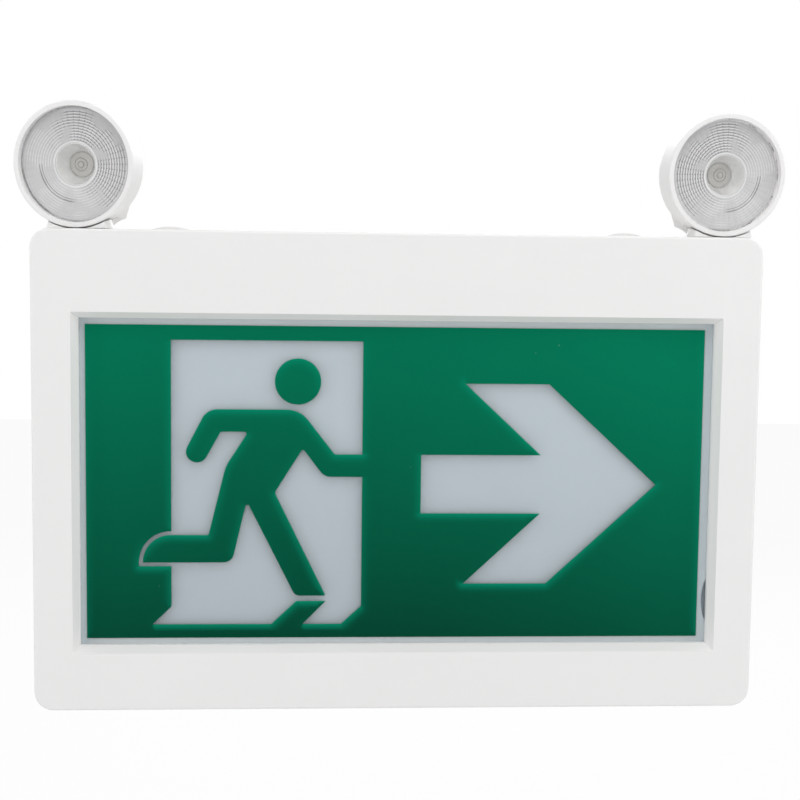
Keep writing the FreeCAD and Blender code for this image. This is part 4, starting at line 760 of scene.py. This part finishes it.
class EXITLIGHT_OT_legend(Operator):
    """Finishes the green legend film and the clear and opal sheets behind it"""

    bl_idname = "exitlight.legend"
    bl_label = "Legend"

    def execute(self, context):
        self.film()
        opal, tree, shader = shader_material("opal diffuser")
        # The opal sheet takes the same painted light and shade: lighter at its top, right and ends,
        # darker at its foot and middle.
        feed(tree, shader, placed_group(
            tree, "Legend ink and painted light", Top=rgba(colours().diffuser_lit_top),
            Foot=rgba(colours().diffuser_shaded_foot), Speck=(0.5, 0.5, 0.5, 1)), 0.05)
        dress(opal, "diffuser_panel")
        dress(moulded("white light box", (0.86, 0.87, 0.87), roughness=0.5), "light_box")
        self.clear_sheet()
        return {"FINISHED"}

    def film(self):
        """The printed film, cut into a fine grid that carries a painted glow at its shapes' edges.
        """
        film = copy_node("legend_film")
        step = sizes().film_grid
        low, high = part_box("legend_film")
        for axis in (0, 2):
            turn = Vector((1 - axis / 2, 0, axis / 2))
            for cut in range(1, int((high[axis] - low[axis]) / step) + 1):
                pick(film, lambda face: face.normal.y < -FACING)
                bpy.ops.mesh.bisect(plane_co=turn * (low[axis] + cut * step), plane_no=turn)
        outward(film)
        self.light_edges(film, sizes().painted_glow_reach)
        ink, tree, shader = shader_material("green legend film", Transmission_Weight=0.3, IOR=1.1)
        light = add_node(tree, "ShaderNodeAttribute", {"attribute_name": "edge_light"})
        feed(tree, shader, placed_group(
            tree, "Legend ink and painted light", Top=rgba(colours().legend_lit_top), Foot=rgba(colours().legend_shaded_foot),
            Edge=rgba(colours().legend_painted_glow), Glow=light.outputs["Fac"]), 0.05)
        finish_piece(film, "green_legend_film", [ink], "case", "green_film", "legend_film")

    def light_edges(self, film, reach):
        """Writes the painted light that each vertex gets: most below a clear shape, least above
        one.
        """
        mesh = film.data
        front = min(vertex.co.y for vertex in mesh.vertices) + TOUCHING
        top = max(vertex.co.z for vertex in mesh.vertices) - TOUCHING
        marks = []
        for face in mesh.polygons:
            if abs(face.normal.y) < 0.1:
                ends = [mesh.vertices[corner].co for corner in face.vertices]
                ends = [end for end in ends if end.y < front and end.z < top]
                middles = [(first + second) / 2 for first, second in zip(ends, ends[1:])]
                marks.extend((mark, face.normal) for mark in ends + middles)
        nearest = KDTree(len(marks))
        for index, (place, _) in enumerate(marks):
            nearest.insert(place, index)
        nearest.balance()
        light = mesh.attributes.new("edge_light", "FLOAT", "POINT")
        for vertex, item in zip(mesh.vertices, light.data):
            _, index, away = nearest.find(vertex.co)
            facing = marks[index][1]
            share = GLOW_BESIDE + GLOW_BELOW * facing.z + GLOW_LEFT * facing.x
            strength = min(1.0, max(0.0, share))
            item.value = strength * max(0.0, 1 - away / reach) ** GLOW_FALL

    def clear_sheet(self):
        """The clear sheet, a hair thinner than its solid, so that light passes between sheets."""
        sheet = copy_node("clear_panel")
        gap = sizes().sheet_gap
        pick(sheet, lambda face: face.normal.y > FACING)
        bpy.ops.transform.translate(value=(0, -gap, 0))
        pick(sheet, lambda face: face.normal.y < -FACING)
        bpy.ops.transform.translate(value=(0, gap, 0))
        bpy.ops.mesh.region_to_loop()
        bpy.ops.mesh.bevel(offset=sizes().sheet_edge, segments=2)
        outward(sheet)
        film_low, film_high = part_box("legend_film")
        clear, tree, shader = shader_material("clear legend sheet", Roughness=0.16)
        feed(tree, shader, placed_group(
            tree, "Sheet edge", Width=film_high[0] - film_low[0], Low=film_low[2],
            High=film_high[2]))
        finish_piece(sheet, "clear_legend_sheet", [clear], "case", "clear_sheet", "clear_panel")


class EXITLIGHT_OT_lens(Operator):
    """Models each lamp's clear lens with its rings of small pillow cells"""

    bl_idname = "exitlight.lens"
    bl_label = "Lenses"

    def execute(self, context):
        clear = moulded("clear lens face", (0.9, 0.9, 0.91), roughness=0.06, drift=0.0, bump=0.0,
                        Alpha=0.08)
        tab = moulded("lens tab", (0.86, 0.86, 0.87), roughness=0.2, Alpha=0.75)
        for side, sign in zip(SIDES, (1.0, -1.0)):
            place, radius, depth = disc_frame(f"{side}_lens")
            ribbed = self.ribbed(side, sign, radius)
            lens = self.model(radius, depth)
            smooth(lens, 25)
            settle(lens, place)
            finish_piece(lens, f"{side}_ribbed_lens", [clear, ribbed, tab], f"{side}_lamp",
                         "clear_lens", f"{side}_lens")
        return {"FINISHED"}

    def ribbed(self, side, sign, radius):
        """The celled rear of a lens, with its painted highlights and shade."""
        wanted, tints = sizes(), colours()
        material, tree, shader = shader_material(f"ribbed {side} lens", Roughness=0.14)
        feed(tree, shader, placed_group(
            tree, "Lens cells", Body=rgba(tints.lens), Groove=rgba(tints.lens_painted_shade),
            Glint=rgba(tints.lens_painted_highlight), Radius=radius, Inner=wanted.lens_centre,
            Outer=radius - wanted.lens_margin, Rings=float(wanted.lens_rings),
            Sectors=float(wanted.lens_sectors), Side=sign))
        return material

    def model(self, radius, depth):
        """A disc with a beaded front and a rear of raised cells in rings, about the origin."""
        wanted = sizes()
        start_clean()
        bpy.ops.mesh.primitive_circle_add(vertices=wanted.lens_sectors, radius=radius,
                                          fill_type="NGON", calc_uvs=True,
                                          rotation=(math.radians(90), 0, 0))
        lens = bpy.context.object
        bpy.ops.object.transform_apply(location=True, rotation=True, scale=True)
        edit(lens)
        bpy.ops.mesh.select_all(action="SELECT")
        bpy.ops.mesh.extrude_region_move(TRANSFORM_OT_translate={"value": (0, depth, 0)})
        self.front(lens, radius)
        self.cells(lens, radius, depth)
        outward(lens)
        front_slot, ribbed_slot, tab_slot = 0, 1, 2
        for face in lens.data.polygons:
            reach = Vector((face.center.x, face.center.z)).length
            if face.center.y < -0.02 * MM:
                at_edge = reach > radius - wanted.lens_margin
                face.material_index = tab_slot if at_edge else ribbed_slot
            else:
                on_rear = face.center.y > depth * 0.9
                face.material_index = ribbed_slot if on_rear else front_slot
        return lens

    def front(self, lens, radius):
        """The raised bead round the middle and the locking tabs at the edge."""
        wanted = sizes()
        band = wanted.lens_margin * OUTER_BAND
        pick(lens, lambda face: len(face.vertices) > 4 and face.center.y < TOUCHING)
        bpy.ops.mesh.inset(thickness=band)
        bpy.ops.mesh.inset(thickness=radius - band - wanted.lens_centre)
        bpy.ops.mesh.inset(thickness=wanted.bead_width / 2, depth=wanted.bead_height)
        bpy.ops.mesh.inset(thickness=wanted.bead_width / 2, depth=-wanted.bead_height)
        middle = wanted.lens_centre - wanted.bead_width
        for share in (FIRST_RISE, 1 - FIRST_RISE):
            bpy.ops.mesh.inset(thickness=middle / 3, depth=wanted.bead_height * share)

        def is_tab(face):
            place = Vector((face.center.x, face.center.z))
            turn = math.degrees(math.atan2(place.y, place.x)) % 360
            in_band = len(face.vertices) == 4 and abs(face.center.y) < TOUCHING and (
                place.length > radius - band)
            return in_band and int(turn / 360 * wanted.lens_sectors) % TAB_SPACING == 0

        pick(lens, is_tab)
        bpy.ops.mesh.inset(thickness=TAB_SLOPE, depth=wanted.tab_height, use_individual=True)

    def cells(self, lens, radius, depth):
        """Rings of cells on the rear, each crowned like a pillow."""
        wanted = sizes()
        inner, outer = wanted.lens_centre, radius - wanted.lens_margin

        def on_rear(face):
            return face.center.y > depth * 0.9

        def is_cell(face):
            reach = Vector((face.center.x, face.center.z)).length
            return len(face.vertices) == 4 and on_rear(face) and inner < reach < outer

        pick(lens, lambda face: len(face.vertices) > 4 and on_rear(face))
        bpy.ops.mesh.inset(thickness=wanted.lens_margin)
        for _ in range(wanted.lens_rings):
            bpy.ops.mesh.inset(thickness=(outer - inner) / wanted.lens_rings)
        pick(lens, is_cell)
        for share in (FIRST_RISE, 1 - FIRST_RISE):
            bpy.ops.mesh.inset(thickness=wanted.cell_gap / 2, depth=wanted.cell_depth * share,
                               use_individual=True)
        bpy.ops.mesh.inset(thickness=wanted.cell_gap, depth=wanted.cell_crown,
                           use_individual=True)


class EXITLIGHT_OT_optics(Operator):
    """Models the curved lamp cups and stepped emitters, and finishes the metal round them"""

    bl_idname = "exitlight.optics"
    bl_label = "Lamp optics"

    def execute(self, context):
        bright = moulded("bright cup", colours().reflector, roughness=0.13, grain=260.0,
                         bump=0.03, Metallic=0.35)
        source = moulded("emitter body", colours().emitter, roughness=0.3, grain=2400.0,
                         drift=0.15, Coat_Weight=0.5)
        solder_mask = board("white lamp board", (0.7, 0.7, 0.68), (0.78, 0.78, 0.76), 420.0)
        sink = metal("cast aluminium", (0.7, 0.71, 0.72), roughness=0.38,
                     streaks=(1500.0, 1500.0, 1500.0))
        zinc = zinc_plate("zinc plate")
        for side in SIDES:
            place, _, thickness = disc_frame(f"{side}_lens")
            board_front = self.level(f"{side}_lamp_board", place)
            cup = self.cup(thickness, board_front)
            smooth(cup, 50)
            settle(cup, place)
            finish_piece(cup, f"{side}_lamp_cup", [bright], f"{side}_lamp", "bright_reflector",
                         f"{side}_reflector")
            emitter = self.emitter(board_front)
            smooth(emitter, 40)
            settle(emitter, place)
            finish_piece(emitter, f"{side}_lamp_emitter", [source], f"{side}_lamp",
                         "emitter_yellow", f"{side}_emitter")
            dress(solder_mask, f"{side}_lamp_board")
            dress(sink, f"{side}_heat_sink")
            dress(zinc, f"{side}_lamp_screws", f"{side}_neck_washer", f"{side}_neck_nut",
                  f"{side}_pivot_bolt", f"{side}_pivot_nut", f"{side}_friction_washers")
        return {"FINISHED"}

    def level(self, node, place):
        """How deep a node's front lies behind the lens's face."""
        into, origin = place.col[1].to_3d(), place.translation
        return min((v.co - origin).dot(into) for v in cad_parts[node].data.vertices)

    def cup(self, start, stop):
        """A thin cup that widens in a curve from the emitter to the lens."""
        wanted = sizes()
        widening = wanted.cup_mouth - wanted.cup_throat
        reach = stop - start - 2 * CUP_GAP
        inside = []
        for number in range(CUP_STEPS + 1):
            share = number / CUP_STEPS
            radius = wanted.cup_throat + widening * share ** CUP_CURVE
            inside.append((radius, stop - CUP_GAP - reach * share))
        outside = [(radius + wanted.cup_wall, depth) for radius, depth in reversed(inside)]
        return lathe(inside + outside + inside[:1], CUP_SEGMENTS, capped=False)

    def emitter(self, floor):
        """A round light source on the board, stepped up to a low dome."""
        radius = sizes().emitter_radius
        profile = [(radius * share, floor - EMITTER_LIFT - rise * MM)
                   for share, rise in EMITTER_STEPS]
        return lathe(profile, EMITTER_SEGMENTS)


class EXITLIGHT_OT_electronics(Operator):
    """Finishes the charger board, the battery and the light bars inside the case"""

    bl_idname = "exitlight.electronics"
    bl_label = "Electronics"

    def execute(self, context):
        green = board("green board", (0.012, 0.11, 0.03), (0.03, 0.2, 0.06))
        zinc = zinc_plate("zinc screws")
        black = moulded("black case", (0.02, 0.02, 0.022), roughness=0.4)
        dress(green, "upper_light_bar", "lower_light_bar", "charger_board")
        dress(moulded("light source", (0.85, 0.7, 0.2), roughness=0.3),
              "upper_bar_lights", "lower_bar_lights")
        dress(zinc, "light_box_screws", "board_screws", "bracket_screws", "battery_bracket",
              "terminal_screws", "fuse_clips")
        dress(black, "relay", "capacitors", "test_switch")
        dress(moulded("battery wrap", (0.03, 0.1, 0.38), roughness=0.3, drift=0.1),
              "battery_pack")
        dress(moulded("core varnish", (0.06, 0.06, 0.07), roughness=0.5, drift=0.2),
              "transformer_core")
        dress(moulded("coil tape", (0.62, 0.42, 0.05), roughness=0.35, drift=0.15),
              "transformer_coil")
        dress(moulded("terminal green", (0.02, 0.25, 0.09), roughness=0.4), "terminal_block")
        dress(metal("fin aluminium", (0.6, 0.61, 0.62), roughness=0.36), "regulator_heat_sink")
        dress(moulded("fuse tube", (0.8, 0.82, 0.8), roughness=0.1, Alpha=0.5), "board_fuse")
        dress(moulded("cream plug", (0.72, 0.7, 0.62), roughness=0.45),
              "board_headers", "pilot_light")
        return {"FINISHED"}


class EXITLIGHT_OT_controls(Operator):
    """Finishes the push button and the pilot light's lens"""

    bl_idname = "exitlight.controls"
    bl_label = "Controls"

    def execute(self, context):
        dress(moulded("red button", (0.5, 0.01, 0.012), roughness=0.32), "test_button")
        dress(moulded("red pilot lens", (0.7, 0.01, 0.012), roughness=0.14, drift=0.08, bump=0.02,
                      Transmission_Weight=0.6, IOR=1.49), "pilot_lens")
        return {"FINISHED"}


OPERATORS = (EXITLIGHT_OT_case, EXITLIGHT_OT_legend, EXITLIGHT_OT_lens, EXITLIGHT_OT_optics,
             EXITLIGHT_OT_electronics, EXITLIGHT_OT_controls, EXITLIGHT_OT_stage)


class EXITLIGHT_PT_panel(Panel):
    """Lists the operators and the settings in the sidebar"""

    bl_label = "Exit Light"
    bl_idname = "EXITLIGHT_PT_panel"
    bl_space_type = "VIEW_3D"
    bl_region_type = "UI"
    bl_category = "Exit Light"

    def draw(self, context):
        layout = self.layout
        for operator in OPERATORS:
            layout.operator(operator.bl_idname)
        for settings in (sizes(), colours()):
            box = layout.box()
            for name in settings.__annotations__:
                box.prop(settings, name)


CLASSES = (ExitLightSizes, ExitLightColours, *OPERATORS, EXITLIGHT_PT_panel)


def register():
    for item in CLASSES:
        bpy.utils.register_class(item)
    bpy.types.Scene.exit_light_sizes = PointerProperty(type=ExitLightSizes)
    bpy.types.Scene.exit_light_colours = PointerProperty(type=ExitLightColours)


def unregister():
    del bpy.types.Scene.exit_light_colours
    del bpy.types.Scene.exit_light_sizes
    for item in reversed(CLASSES):
        bpy.utils.unregister_class(item)


def main():
    register()
    for operator in OPERATORS:
        getattr(bpy.ops.exitlight, operator.bl_idname.split(".")[1])()


if __name__ == "__main__":
    main()
